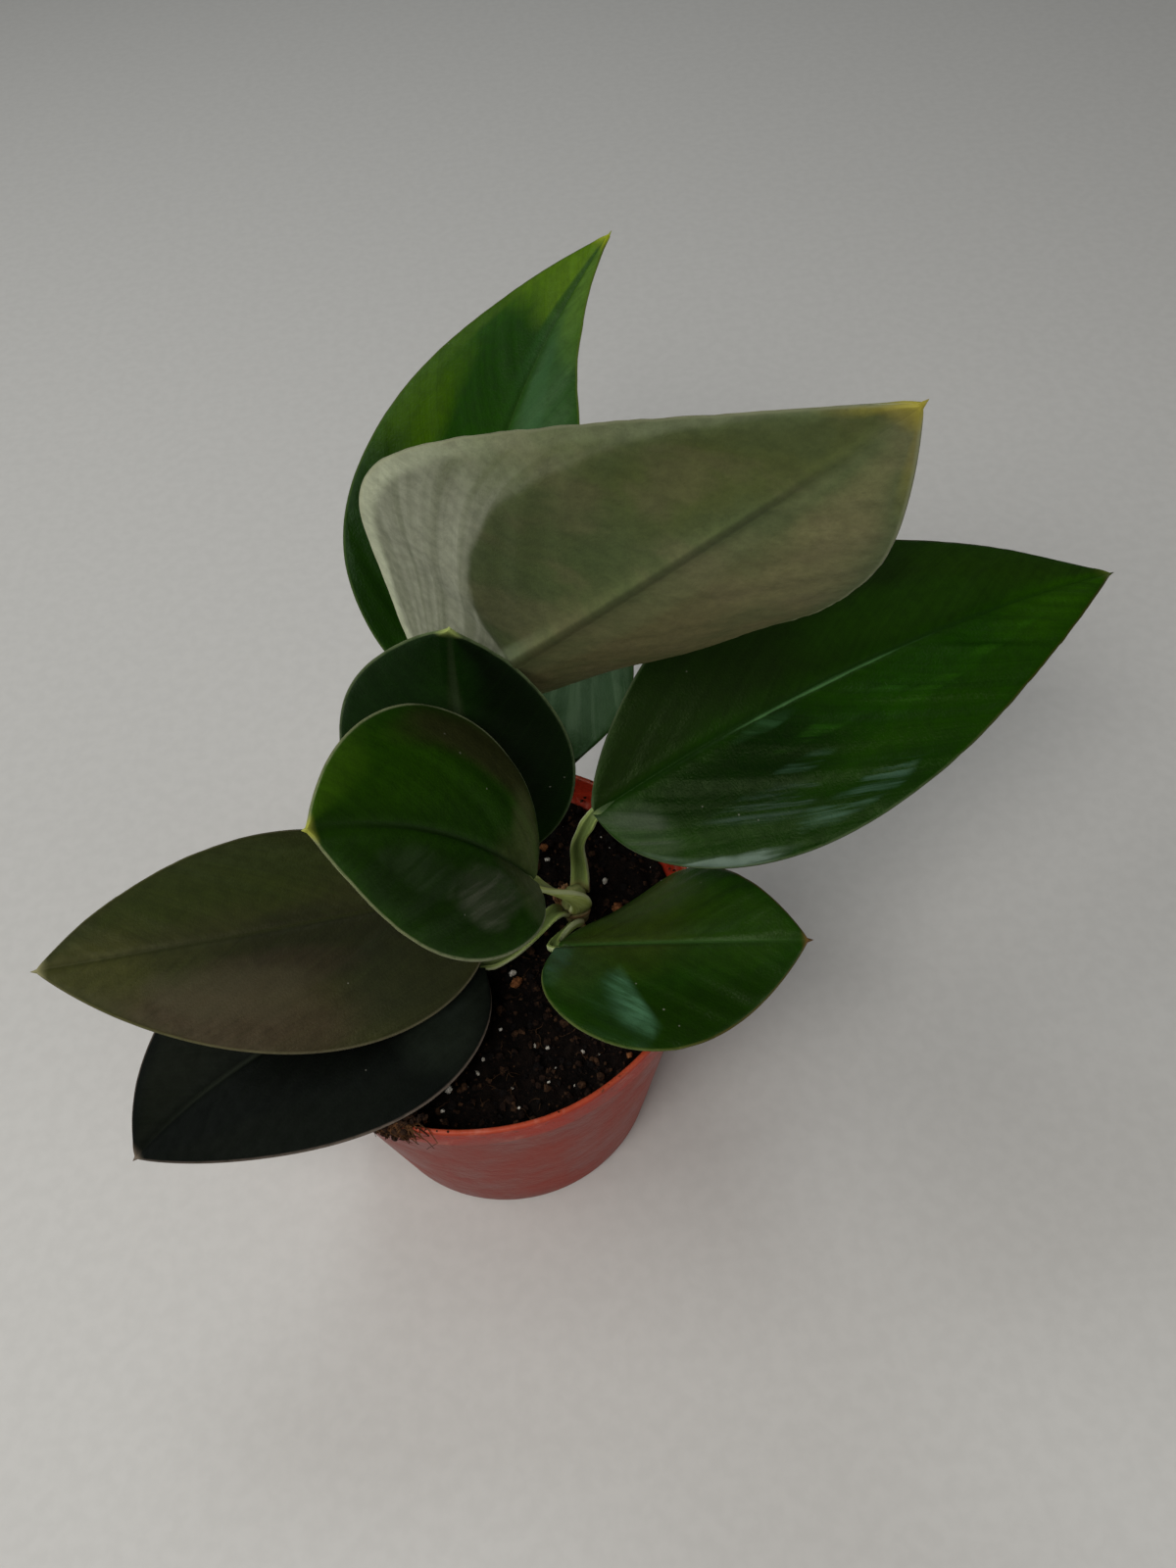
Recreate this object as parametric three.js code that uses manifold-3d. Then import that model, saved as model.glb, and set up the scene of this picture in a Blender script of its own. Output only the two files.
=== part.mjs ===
// A small potted dark-form treubii: two rooted cuttings with four leaves each, in a thin plastic pot.
// Millimetres, +Z up. The pot stands on z = 0 and its axis is the Z axis. The photograph was taken
// from the -Y side and from above.
import * as THREE from "three";
import { mergeVertices } from "three/addons/utils/BufferGeometryUtils.js";
import Module from "manifold-3d";

const wasm = await Module();
wasm.setup();

const GAP = 0.3; // clearance between neighbouring solids

// Pot
const RIM_RADIUS = 42.5;
const POT_HEIGHT = 58;
const FOOT_RADIUS = 30;
const RIM_BAND_HEIGHT = 6;
const RIM_BAND_STEP = 0.8;
const RIM_BAND_DRAFT = 0.6;
const WALL = 1.1;
const FLOOR = 1.3;
const FOOT_EDGE = 1;
const LIP_ROUND = 0.5;
const POT_SIDES = 64;
const DRAIN_HOLES = 8;
const DRAIN_HOLE_RADIUS = 2.8;
const DRAIN_CIRCLE_RADIUS = 21;
const HOLE_SIDES = 16;

// Soil
const SOIL_LEVEL = 52;
const SOIL_EDGE_DROP = 1.5;
const SOIL_BANK = 0.8;
const SOIL_RINGS = 9;
const SOIL_RELIEF = 0.7;

// Stems: where each stands, how thick it is, how deep it is set and how high it reaches
const STEMS = {
  stem_right: { x: 19, y: 5, radius: 2.4, bottom: 26, top: 60 },
  stem_left: { x: 3, y: 12, radius: 2.5, bottom: 26, top: 64 },
};
const NODE_SPACING = 11;
const NODE_SWELLING = 0.35;
const TOP_NODE_DEPTH = 5;
const STEM_END_NARROWING = 0.55;
const STEM_END_RISE = 0.6;
const STEM_STEPS = 12;
const STEM_SIDES = 16;

// Leaf blades
const BLADE_THICKNESS = 0.75;
const MIDRIB_DEPTH = 0.9;
const MIDRIB_HALF_WIDTH = 1.6;
const BASE_LOBE = 2;
const LOBE_REACH = 0.03;
const TIP_SHARPNESS = 0.95;
const BLADE_ROWS = 20;
const RIB_STEPS = [0.08, 0.3, 0.55, 0.8, 1];
const MIDRIB_STEPS = 60;

// Petioles: the geniculum is the swelling just below the blade, placed by its share of the stalk
const PETIOLE_WIDTH = 2.3;
const PETIOLE_DEPTH = 2;
const PETIOLE_LEAN = 0.5;
const PETIOLE_PULL = 0.4;
const GENICULUM_SWELLING = 0.6;
const GENICULUM_PLACE = 0.93;
const GENICULUM_SPREAD = 0.07;
const CHANNEL_DEPTH = 0.4;
const CHANNEL_SPREAD = 0.55;
const PETIOLE_ROWS = 14;
const PETIOLE_SIDES = 12;
const PETIOLE_STANDOFF = 1.2;
const CLASP_TAPER = 1.7;

// Old sheath: bearings round its stem in degrees
const OLD_SHEATH = { stem: "stem_right", from: 106, to: 160, bottom: 53, height: 4.5 };
const SHEATH_THICKNESS = 0.6;
const SHEATH_FLARE = 1.1;
const SHEATH_STEPS = 8;

// Each leaf is set by its real sizes and angles:
//   base      the point where petiole and blade meet
//   length    of the midrib, and the half widths of its left and right side, over the surface
//   widest    where each half is widest, as a share of the length
//   heading   compass angle of the midrib at the base, from +X towards +Y, and its turn to the tip
//   rise      angle of the midrib above the horizontal, at the base and at the tip
//   roll      turn of the blade about its midrib, at the base and at the tip
//   fold      angle at which both halves rise from the midrib, at the base and at the tip
//   curl      further bend of each half from midrib to margin
//   petiole   stem, bearing round it, starting height and extra sheath width
//   arrive    direction in which the stalk comes up to the base point
//   seat      distance from the end of the stalk to the base point
const LEAVES = {
  back: {
    base: [21, 18.5, 81.5], length: 131, left: 29, right: 26.5, widest: [0.44, 0.28],
    heading: 124, turn: -96, rise: [1.5, 43], roll: [17, -8], fold: [26, 13], curl: [-9, -6],
    petiole: { stem: "stem_left", bearing: 10, start: 58, sheath: 1.6 },
    arrive: [0.45, 0.35, 0.82], seat: 1.45, colour: 0x33611f,
  },
  tall: {
    base: [-0.5, 18.5, 102], length: 122, left: 32, right: 36.5, widest: [0.4, 0.42],
    heading: -42, turn: 5, rise: [47, 48.5], roll: [-73, -69], fold: [31, -7], curl: [29, -19],
    petiole: { stem: "stem_left", bearing: 105, start: 60, sheath: 1.6 },
    arrive: [0.15, -0.1, 0.98], seat: 0.95, colour: 0x7c8163,
  },
  upright: {
    base: [3, 8.5, 69], length: 69, left: 21.5, right: 19, widest: [0.47, 0.41],
    heading: 293.5, turn: -3, rise: [92.5, 72.5], roll: [157, 148], fold: [14, -12], curl: [-14, -5],
    petiole: { stem: "stem_left", bearing: 190, start: 57, sheath: 1.2 },
    arrive: [0.25, 0.05, 0.97], seat: 0.6, colour: 0x1d3a1b,
  },
  right: {
    base: [24.5, 5.5, 82.5], length: 110, left: 27, right: 27.5, widest: [0.5, 0.39],
    heading: 20.5, turn: -5, rise: [18.5, -5], roll: [41, -10], fold: [16, 6], curl: [-12, -14],
    petiole: { stem: "stem_right", bearing: 70, start: 56, sheath: 1.8 },
    arrive: [0.5, 0.1, 0.86], seat: 1.1, colour: 0x214f19,
  },
  small: {
    base: [15, -9, 62.5], length: 47, left: 20.5, right: 22.5, widest: [0.43, 0.41],
    heading: -20, turn: 17, rise: [22, -5.5], roll: [-26, 22], fold: [-1, 7], curl: [-25, -10],
    petiole: { stem: "stem_right", bearing: 268, start: 54, sheath: 0.6 },
    arrive: [0.3, -0.6, 0.74], seat: 1.7, colour: 0x1f5722,
  },
  centre: {
    base: [13, -14, 91], length: 56, left: 20, right: 22.5, widest: [0.48, 0.44],
    heading: 207.5, turn: 14, rise: [68.5, 37], roll: [-24, -43], fold: [29, -9], curl: [-21, -20],
    petiole: { stem: "stem_right", bearing: 285, start: 58.5, sheath: 2.4 },
    arrive: [-0.2, -0.42, 0.88], seat: 0.7, colour: 0x2b541d,
  },
  left: {
    base: [1, 3, 67], length: 81, left: 24.5, right: 21, widest: [0.36, 0.44],
    heading: 198, turn: -17, rise: [16, -3], roll: [-6, -16], fold: [3, 7], curl: [-25, -17],
    petiole: { stem: "stem_left", bearing: 275, start: 54.5, sheath: 1.2 },
    arrive: [-0.5, -0.45, 0.74], seat: 1.0, colour: 0x4b5039,
  },
  low: {
    base: [0.5, -8.5, 59], length: 76, left: 24, right: 23, widest: [0.38, 0.46],
    heading: 196.5, turn: 7, rise: [16.5, -38], roll: [-7, -16], fold: [3, 17], curl: [-9, -14],
    petiole: { stem: "stem_right", bearing: 222, start: 56.8, sheath: 1.2 },
    arrive: [-0.93, -0.1, 0.22], seat: 0.4, colour: 0x2c302c,
  },
};

const radians = THREE.MathUtils.degToRad;
const lerp = THREE.MathUtils.lerp;

function material(colour, roughness, metalness = 0) {
  return new THREE.MeshStandardMaterial({ color: colour, roughness, metalness });
}

function named(name, geometry, look) {
  const mesh = new THREE.Mesh(geometry, look);
  mesh.name = name;
  return mesh;
}

function geometryOf(positions, triangles) {
  const geometry = new THREE.BufferGeometry();
  geometry.setAttribute("position", new THREE.Float32BufferAttribute(positions, 3));
  geometry.setIndex(triangles);
  return geometry;
}

// Boolean cuts
function toSolid(geometry) {
  const bare = geometry.clone();
  bare.deleteAttribute("normal");
  bare.deleteAttribute("uv");
  const merged = mergeVertices(bare, 1e-4);
  const mesh = new wasm.Mesh({
    numProp: 3,
    vertProperties: merged.attributes.position.array,
    triVerts: new Uint32Array(merged.index.array),
  });
  return new wasm.Manifold(mesh);
}

function toGeometry(solid) {
  const mesh = solid.getMesh();
  return geometryOf(Array.from(mesh.vertProperties), Array.from(mesh.triVerts));
}

function cylinder(radius, bottom, top, x, y, sides) {
  const geometry = new THREE.CylinderGeometry(radius, radius, top - bottom, sides);
  geometry.rotateX(Math.PI / 2);
  geometry.translate(x, y, (bottom + top) / 2);
  return geometry;
}

function cut(geometry, tools) {
  let solid = toSolid(geometry);
  for (const tool of tools) solid = solid.subtract(toSolid(tool));
  return toGeometry(solid);
}

// A solid of revolution from [radius, height] pairs that run from the bottom of the axis to its top
function turned(profile, sides) {
  const points = profile.map(([radius, height]) => new THREE.Vector2(radius, height));
  const geometry = new THREE.LatheGeometry(points, sides);
  geometry.rotateX(Math.PI / 2);
  return geometry;
}

// A closed solid through rings of points, each end closed by a fan round its middle
function skinned(rings) {
  const sides = rings[0].length;
  const middle = (ring) => ring.reduce((sum, p) => sum.add(p), new THREE.Vector3()).divideScalar(sides);
  const points = [...rings.flat(), middle(rings[0]), middle(rings.at(-1))];
  const first = rings.length * sides;
  const at = (row, k) => row * sides + (k % sides);
  const triangles = [];
  for (let k = 0; k < sides; k++) {
    triangles.push(first, at(0, k + 1), at(0, k));
    triangles.push(first + 1, at(rings.length - 1, k), at(rings.length - 1, k + 1));
    for (let row = 0; row < rings.length - 1; row++) {
      triangles.push(at(row, k), at(row, k + 1), at(row + 1, k + 1));
      triangles.push(at(row, k), at(row + 1, k + 1), at(row + 1, k));
    }
  }
  return geometryOf(points.flatMap((p) => p.toArray()), triangles);
}

// Pot
const BAND_BOTTOM = POT_HEIGHT - RIM_BAND_HEIGHT;
const BODY_TOP_RADIUS = RIM_RADIUS - RIM_BAND_STEP - RIM_BAND_DRAFT;

function bodyRadius(height) {
  return lerp(FOOT_RADIUS, BODY_TOP_RADIUS, height / BAND_BOTTOM);
}

function potGeometry() {
  const bandFoot = BODY_TOP_RADIUS + RIM_BAND_STEP;
  const mouth = RIM_RADIUS - WALL;
  const profile = [
    [0, 0],
    [FOOT_RADIUS - FOOT_EDGE, 0],
    [bodyRadius(FOOT_EDGE) - FOOT_EDGE * 0.35, FOOT_EDGE * 0.25],
    [bodyRadius(FOOT_EDGE), FOOT_EDGE],
    [bodyRadius(BAND_BOTTOM * 0.5), BAND_BOTTOM * 0.5],
    [BODY_TOP_RADIUS, BAND_BOTTOM],
    [bandFoot, BAND_BOTTOM + GAP],
    [RIM_RADIUS, POT_HEIGHT - LIP_ROUND],
    [RIM_RADIUS - LIP_ROUND * 0.4, POT_HEIGHT],
    [mouth + LIP_ROUND * 0.4, POT_HEIGHT],
    [mouth, POT_HEIGHT - LIP_ROUND],
    [bandFoot - WALL, BAND_BOTTOM],
    [BODY_TOP_RADIUS - WALL, BAND_BOTTOM - 1],
    [bodyRadius(FLOOR) - WALL, FLOOR],
    [0, FLOOR],
  ];
  const holes = [];
  for (let i = 0; i < DRAIN_HOLES; i++) {
    const angle = ((i + 0.5) / DRAIN_HOLES) * 2 * Math.PI;
    const x = DRAIN_CIRCLE_RADIUS * Math.cos(angle);
    const y = DRAIN_CIRCLE_RADIUS * Math.sin(angle);
    holes.push(cylinder(DRAIN_HOLE_RADIUS, -1, FLOOR + 1, x, y, HOLE_SIDES));
  }
  return cut(turned(profile, POT_SIDES), holes);
}

// Soil: a level bed with two sets of slow waves, a little lower at the wall
function soilHeight(x, y) {
  const coarse = Math.sin(0.31 * x + 1.2) * Math.cos(0.27 * y - 0.4);
  const fine = Math.sin(0.83 * x - 0.71 * y) * Math.cos(0.64 * x + 0.9 * y + 2);
  const bank = (x * x + y * y) / (RIM_RADIUS * RIM_RADIUS);
  return SOIL_LEVEL + SOIL_RELIEF * (0.7 * coarse + 0.6 * fine) - SOIL_BANK * bank;
}

function soilGeometry() {
  const bottom = FLOOR + GAP;
  const inner = WALL + GAP;
  const wallTop = bodyRadius(SOIL_LEVEL - SOIL_EDGE_DROP) - inner;
  const positions = [0, 0, bottom];
  const rings = [{ radius: bodyRadius(bottom) - inner, height: () => bottom }];
  for (let i = SOIL_RINGS; i > 0; i--) {
    rings.push({ radius: (wallTop * i) / SOIL_RINGS, height: soilHeight });
  }
  for (const ring of rings) {
    for (let k = 0; k < POT_SIDES; k++) {
      const angle = (k / POT_SIDES) * 2 * Math.PI;
      const x = ring.radius * Math.cos(angle);
      const y = ring.radius * Math.sin(angle);
      positions.push(x, y, ring.height(x, y));
    }
  }
  positions.push(0, 0, soilHeight(0, 0));
  const top = positions.length / 3 - 1;
  const triangles = [];
  const at = (ring, k) => 1 + ring * POT_SIDES + (k % POT_SIDES);
  for (let k = 0; k < POT_SIDES; k++) {
    triangles.push(0, at(0, k + 1), at(0, k));
    for (let ring = 0; ring < rings.length - 1; ring++) {
      triangles.push(at(ring, k), at(ring, k + 1), at(ring + 1, k + 1));
      triangles.push(at(ring, k), at(ring + 1, k + 1), at(ring + 1, k));
    }
    triangles.push(at(rings.length - 1, k), at(rings.length - 1, k + 1), top);
  }
  const holes = Object.values(STEMS).map((stem) => {
    const radius = stem.radius + NODE_SWELLING + GAP;
    return cylinder(radius, stem.bottom - GAP, POT_HEIGHT, stem.x, stem.y, HOLE_SIDES);
  });
  return cut(geometryOf(positions, triangles), holes);
}

// Stems
function stemGeometry(stem) {
  const profile = [[0, stem.bottom]];
  for (let i = 0; i <= STEM_STEPS; i++) {
    const height = lerp(stem.bottom, stem.top, i / STEM_STEPS);
    const phase = ((stem.top - TOP_NODE_DEPTH - height) / NODE_SPACING) * 2 * Math.PI;
    const swelling = NODE_SWELLING * Math.max(0, Math.cos(phase));
    const narrowing = i === STEM_STEPS ? STEM_END_NARROWING : 1;
    profile.push([(stem.radius + swelling) * narrowing, height]);
  }
  profile.push([0, stem.top + STEM_END_RISE]);
  const geometry = turned(profile, STEM_SIDES);
  geometry.translate(stem.x, stem.y, 0);
  return geometry;
}

// Leaf blades
function direction(heading, rise) {
  const flat = Math.cos(rise);
  return new THREE.Vector3(Math.cos(heading) * flat, Math.sin(heading) * flat, Math.sin(rise));
}

function frameAt(leaf, share) {
  const heading = radians(leaf.heading + leaf.turn * share);
  const along = direction(heading, radians(lerp(...leaf.rise, share)));
  const level = new THREE.Vector3(-Math.sin(heading), Math.cos(heading), 0);
  const above = along.clone().cross(level);
  const roll = radians(lerp(...leaf.roll, share));
  const left = level.clone().multiplyScalar(Math.cos(roll)).addScaledVector(above, Math.sin(roll));
  const up = above.clone().multiplyScalar(Math.cos(roll)).addScaledVector(level, -Math.sin(roll));
  return { along, left, up };
}

function midribOf(leaf) {
  const step = leaf.length / MIDRIB_STEPS;
  const points = [new THREE.Vector3(...leaf.base)];
  for (let i = 0; i < MIDRIB_STEPS; i++) {
    const here = frameAt(leaf, i / MIDRIB_STEPS).along;
    const next = frameAt(leaf, (i + 1) / MIDRIB_STEPS).along;
    const point = points[i].clone().addScaledVector(here.add(next), step / 2);
    points.push(point);
  }
  return points;
}

function midribPoint(midrib, share) {
  const place = THREE.MathUtils.clamp(share, 0, 1) * MIDRIB_STEPS;
  const i = Math.min(Math.floor(place), MIDRIB_STEPS - 1);
  return midrib[i].clone().lerp(midrib[i + 1], place - i);
}

// Half width of one side at a share of the length, 1 at its widest place
function outline(widest, share) {
  const rising = (TIP_SHARPNESS * widest) / (1 - widest);
  const peak = widest ** rising * (1 - widest) ** TIP_SHARPNESS;
  return (share ** rising * (1 - share) ** TIP_SHARPNESS) / peak;
}

function marginReach(leaf, share) {
  return (leaf.length + BASE_LOBE) * share - BASE_LOBE * (1 - Math.exp(-share / LOBE_REACH));
}

// Point of the middle surface: "reach" is measured along the midrib, "out" over the surface from it
function bladePoint(leaf, midrib, side, reach, out) {
  const share = THREE.MathUtils.clamp(reach / leaf.length, 0, 1);
  const frame = frameAt(leaf, share);
  const halfWidth = side > 0 ? leaf.left : leaf.right;
  const bend = radians(leaf.curl[side > 0 ? 0 : 1]) / halfWidth;
  const fold = radians(lerp(...leaf.fold, share));
  const across = (Math.sin(fold + bend * out) - Math.sin(fold)) / bend;
  const lift = (Math.cos(fold) - Math.cos(fold + bend * out)) / bend;
  const beyond = Math.min(reach, 0) + Math.max(reach - leaf.length, 0);
  return midribPoint(midrib, share)
    .addScaledVector(frame.along, beyond)
    .addScaledVector(frame.left, side * across)
    .addScaledVector(frame.up, lift);
}

// Rows lie closer together towards the base and the tip
function rowShare(row) {
  const u = row / BLADE_ROWS;
  return u ** 1.6 / (u ** 1.6 + (1 - u) ** 1.25);
}

// The middle surface: base point, rows from the right margin over the midrib to the left, tip point.
// "depths" tells how far the underside lies below the middle surface at each point.
function middleSurface(leaf) {
  const midrib = midribOf(leaf);
  const points = [midribPoint(midrib, 0)];
  const depths = [BLADE_THICKNESS / 2 + MIDRIB_DEPTH];
  const steps = [...RIB_STEPS].reverse().map((g) => -g).concat([0], RIB_STEPS);
  for (let row = 1; row < BLADE_ROWS; row++) {
    const share = rowShare(row);
    for (const step of steps) {
      const side = step < 0 ? -1 : 1;
      const g = Math.abs(step);
      const halfWidth = side > 0 ? leaf.left : leaf.right;
      const widest = leaf.widest[side > 0 ? 0 : 1];
      const out = g * halfWidth * outline(widest, share);
      const reach = lerp(leaf.length * share, marginReach(leaf, share), g);
      points.push(bladePoint(leaf, midrib, side, reach, out));
      const rib = MIDRIB_DEPTH * (1 - share) * Math.exp(-((out / MIDRIB_HALF_WIDTH) ** 2));
      depths.push(BLADE_THICKNESS / 2 + rib);
    }
  }
  points.push(midribPoint(midrib, 1));
  depths.push(BLADE_THICKNESS / 2);
  return { points, depths, columns: steps.length };
}

function surfaceTriangles(columns) {
  const rows = BLADE_ROWS - 1;
  const tip = 1 + rows * columns;
  const at = (row, column) => 1 + row * columns + column;
  const triangles = [];
  for (let column = 0; column < columns - 1; column++) {
    triangles.push(0, at(0, column), at(0, column + 1));
    triangles.push(tip, at(rows - 1, column + 1), at(rows - 1, column));
    for (let row = 0; row < rows - 1; row++) {
      triangles.push(at(row, column), at(row + 1, column), at(row, column + 1));
      triangles.push(at(row, column + 1), at(row + 1, column), at(row + 1, column + 1));
    }
  }
  return triangles;
}

// The edge of the surface, anticlockwise seen from its upper side
function surfaceEdge(columns) {
  const rows = BLADE_ROWS - 1;
  const edge = [0];
  for (let row = 0; row < rows; row++) edge.push(1 + row * columns);
  edge.push(1 + rows * columns);
  for (let row = rows - 1; row >= 0; row--) edge.push(row * columns + columns);
  return edge;
}

function bladeGeometry(leaf) {
  const { points, depths, columns } = middleSurface(leaf);
  const faces = surfaceTriangles(columns);
  const middle = geometryOf(points.flatMap((p) => p.toArray()), faces);
  middle.computeVertexNormals();
  const normals = middle.attributes.normal;
  const normalAt = (i) => new THREE.Vector3().fromBufferAttribute(normals, i);
  const upper = points.map((p, i) => p.clone().addScaledVector(normalAt(i), BLADE_THICKNESS / 2));
  const lower = points.map((p, i) => p.clone().addScaledVector(normalAt(i), -depths[i]));
  const count = points.length;
  const triangles = [...faces];
  for (let i = 0; i < faces.length; i += 3) {
    triangles.push(count + faces[i], count + faces[i + 2], count + faces[i + 1]);
  }
  const edge = surfaceEdge(columns);
  edge.forEach((here, i) => {
    const next = edge[(i + 1) % edge.length];
    triangles.push(count + here, count + next, next);
    triangles.push(count + here, next, here);
  });
  return geometryOf([...upper, ...lower].flatMap((p) => p.toArray()), triangles);
}

// Petioles: a channelled stalk that clasps its stem and swells again just below the blade
function petiolePath(leaf) {
  const { stem: stemName, bearing, start } = leaf.petiole;
  const stem = STEMS[stemName];
  const away = direction(radians(bearing), 0);
  const standoff = stem.radius + PETIOLE_STANDOFF;
  const foot = new THREE.Vector3(stem.x, stem.y, start).addScaledVector(away, standoff);
  const arrival = new THREE.Vector3(...leaf.arrive).normalize();
  const head = new THREE.Vector3(...leaf.base).addScaledVector(arrival, -leaf.seat);
  const pull = foot.distanceTo(head) * PETIOLE_PULL;
  const leave = new THREE.Vector3(0, 0, 1).addScaledVector(away, PETIOLE_LEAN).normalize();
  const knee = foot.clone().addScaledVector(leave, pull);
  const bow = head.clone().addScaledVector(arrival, -pull);
  return { curve: new THREE.CubicBezierCurve3(foot, knee, bow, head), away };
}

function petioleWidth(share, sheath) {
  const clasp = sheath * (1 - share) ** CLASP_TAPER;
  const swelling = Math.exp(-(((share - GENICULUM_PLACE) / GENICULUM_SPREAD) ** 2));
  return PETIOLE_WIDTH + clasp + GENICULUM_SWELLING * swelling;
}

function petioleGeometry(leaf) {
  const { curve, away } = petiolePath(leaf);
  const bladeUp = frameAt(leaf, 0).up;
  const rings = [];
  for (let row = 0; row <= PETIOLE_ROWS; row++) {
    const share = row / PETIOLE_ROWS;
    const centre = curve.getPointAt(share);
    const along = curve.getTangentAt(share);
    const facing = away.clone().negate().lerp(bladeUp, share ** 2);
    const channel = facing.addScaledVector(along, -facing.dot(along)).normalize();
    const across = channel.clone().cross(along);
    const halfWidth = petioleWidth(share, leaf.petiole.sheath) / 2;
    const ring = [];
    for (let k = 0; k < PETIOLE_SIDES; k++) {
      const angle = (k / PETIOLE_SIDES) * 2 * Math.PI;
      const x = Math.cos(angle);
      const dip = Math.sin(angle) > 0 ? Math.exp(-((x / CHANNEL_SPREAD) ** 2)) : 0;
      const y = (Math.sin(angle) * PETIOLE_DEPTH) / 2 - CHANNEL_DEPTH * dip;
      ring.push(centre.clone().addScaledVector(across, x * halfWidth).addScaledVector(channel, y));
    }
    rings.push(ring);
  }
  return skinned(rings);
}

// Old sheath: a dry scale that still clasps the right-hand stem
function sheathGeometry() {
  const { stem, bottom, height, from, to } = OLD_SHEATH;
  const { x, y, radius } = STEMS[stem];
  const inner = radius + NODE_SWELLING + GAP;
  const outer = inner + SHEATH_THICKNESS;
  const profile = [
    [outer, bottom],
    [outer + SHEATH_FLARE, bottom + height],
    [inner + SHEATH_FLARE, bottom + height],
    [inner, bottom],
  ];
  const rings = [];
  for (let i = 0; i <= SHEATH_STEPS; i++) {
    const angle = radians(lerp(from, to, i / SHEATH_STEPS));
    const point = ([r, z]) => new THREE.Vector3(x + r * Math.cos(angle), y + r * Math.sin(angle), z);
    rings.push(profile.map(point));
  }
  return skinned(rings.reverse());
}

const plant = new THREE.Group();
plant.add(named("pot", potGeometry(), material(0xa9604a, 0.55)));
plant.add(named("soil", soilGeometry(), material(0x2b1f18, 0.98)));
for (const [name, stem] of Object.entries(STEMS)) {
  plant.add(named(name, stemGeometry(stem), material(0x8c9b5c, 0.6)));
}
plant.add(named("old_sheath", sheathGeometry(), material(0x8f6b4c, 0.85)));
for (const [name, leaf] of Object.entries(LEAVES)) {
  plant.add(named("leaf_" + name, bladeGeometry(leaf), material(leaf.colour, 0.4)));
  plant.add(named("petiole_" + name, petioleGeometry(leaf), material(0x7f9b54, 0.5)));
}

export default plant;
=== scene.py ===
# The looks of a small potted dark-form treubii: two rooted cuttings in a thin plastic pot.
# Sizes are named in millimetres, as in the solid model, and each mesh is made in metres.
# +Z is up, the pot stands on z = 0 and its axis is the Z axis.
import math

import bpy
import numpy as np
from mathutils import Matrix, Vector


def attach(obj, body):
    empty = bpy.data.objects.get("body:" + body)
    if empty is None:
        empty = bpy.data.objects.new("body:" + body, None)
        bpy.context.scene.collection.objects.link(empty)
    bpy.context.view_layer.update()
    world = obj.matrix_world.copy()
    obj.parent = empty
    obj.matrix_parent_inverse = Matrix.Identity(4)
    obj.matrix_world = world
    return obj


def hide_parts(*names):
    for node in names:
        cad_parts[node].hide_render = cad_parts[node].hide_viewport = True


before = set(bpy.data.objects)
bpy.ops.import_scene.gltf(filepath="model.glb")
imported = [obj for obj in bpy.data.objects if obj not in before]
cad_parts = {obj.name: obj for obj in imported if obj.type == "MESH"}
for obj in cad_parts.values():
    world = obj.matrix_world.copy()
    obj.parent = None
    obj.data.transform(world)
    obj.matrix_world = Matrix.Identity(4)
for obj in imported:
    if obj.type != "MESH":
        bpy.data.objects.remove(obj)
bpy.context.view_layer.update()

MM = 0.001
ROOT = "root"
FULL_TURN = 2 * math.pi

# Pot
RIM_RADIUS = 42.5
POT_HEIGHT = 58
FOOT_RADIUS = 30
RIM_BAND_HEIGHT = 6
RIM_BAND_STEP = 0.8
RIM_BAND_DRAFT = 0.6
WALL = 1.1
FLOOR = 1.3
FOOT_EDGE = 1
POT_SIDES = 144
LIP_STEPS = 6
SHARP_EDGE_ANGLE = 48
DRAIN_HOLES = 8
DRAIN_HOLE_RADIUS = 2.8
DRAIN_HOLE_SIDES = 28
DRAIN_CIRCLE_RADIUS = 21
BAND_BOTTOM = POT_HEIGHT - RIM_BAND_HEIGHT
BODY_TOP_RADIUS = RIM_RADIUS - RIM_BAND_STEP - RIM_BAND_DRAFT
MOUTH_RADIUS = RIM_RADIUS - WALL

# Soil
SOIL_LEVEL = 52
SOIL_BANK = 0.8
SOIL_RELIEF = 0.7
SOIL_RINGS = 92
SOIL_SIDES = 220
CLEARANCE = 0.3
BED_RADIUS = 39.4
STEM_CLEARANCE = 3.2

# Finer relief of the bed: height, seed, wavelength and number of waves
BED_RIPPLES = [(0.5, 11, 6.5, 7), (0.35, 12, 3.1, 9), (0.22, 13, 1.5, 9)]

# Loose grain on the bed and at the rim. The tuft hangs over the rim at a bearing of the rim.
CRUMB_COUNT = 2600
INNER_CRUMB_COUNT = 150
LIP_CRUMB_COUNT = 26
FINE_PERLITE_COUNT = 34
FIBRE_COUNT = 110
FIBRE_STEPS = 9
FIBRE_LIFT = 0.25
THREAD_SIDES = 5
TUFT_BEARING = math.radians(245.5)
TUFT_FIBRE_COUNT = 95
TUFT_CRUMB_COUNT = 170
CRUMB_COLOURS = {
    "dark": (0x100906, 0x2A1B12),
    "brown": (0x1A100A, 0x46301F),
    "black": (0x070505, 0x140F0C),
}

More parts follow.
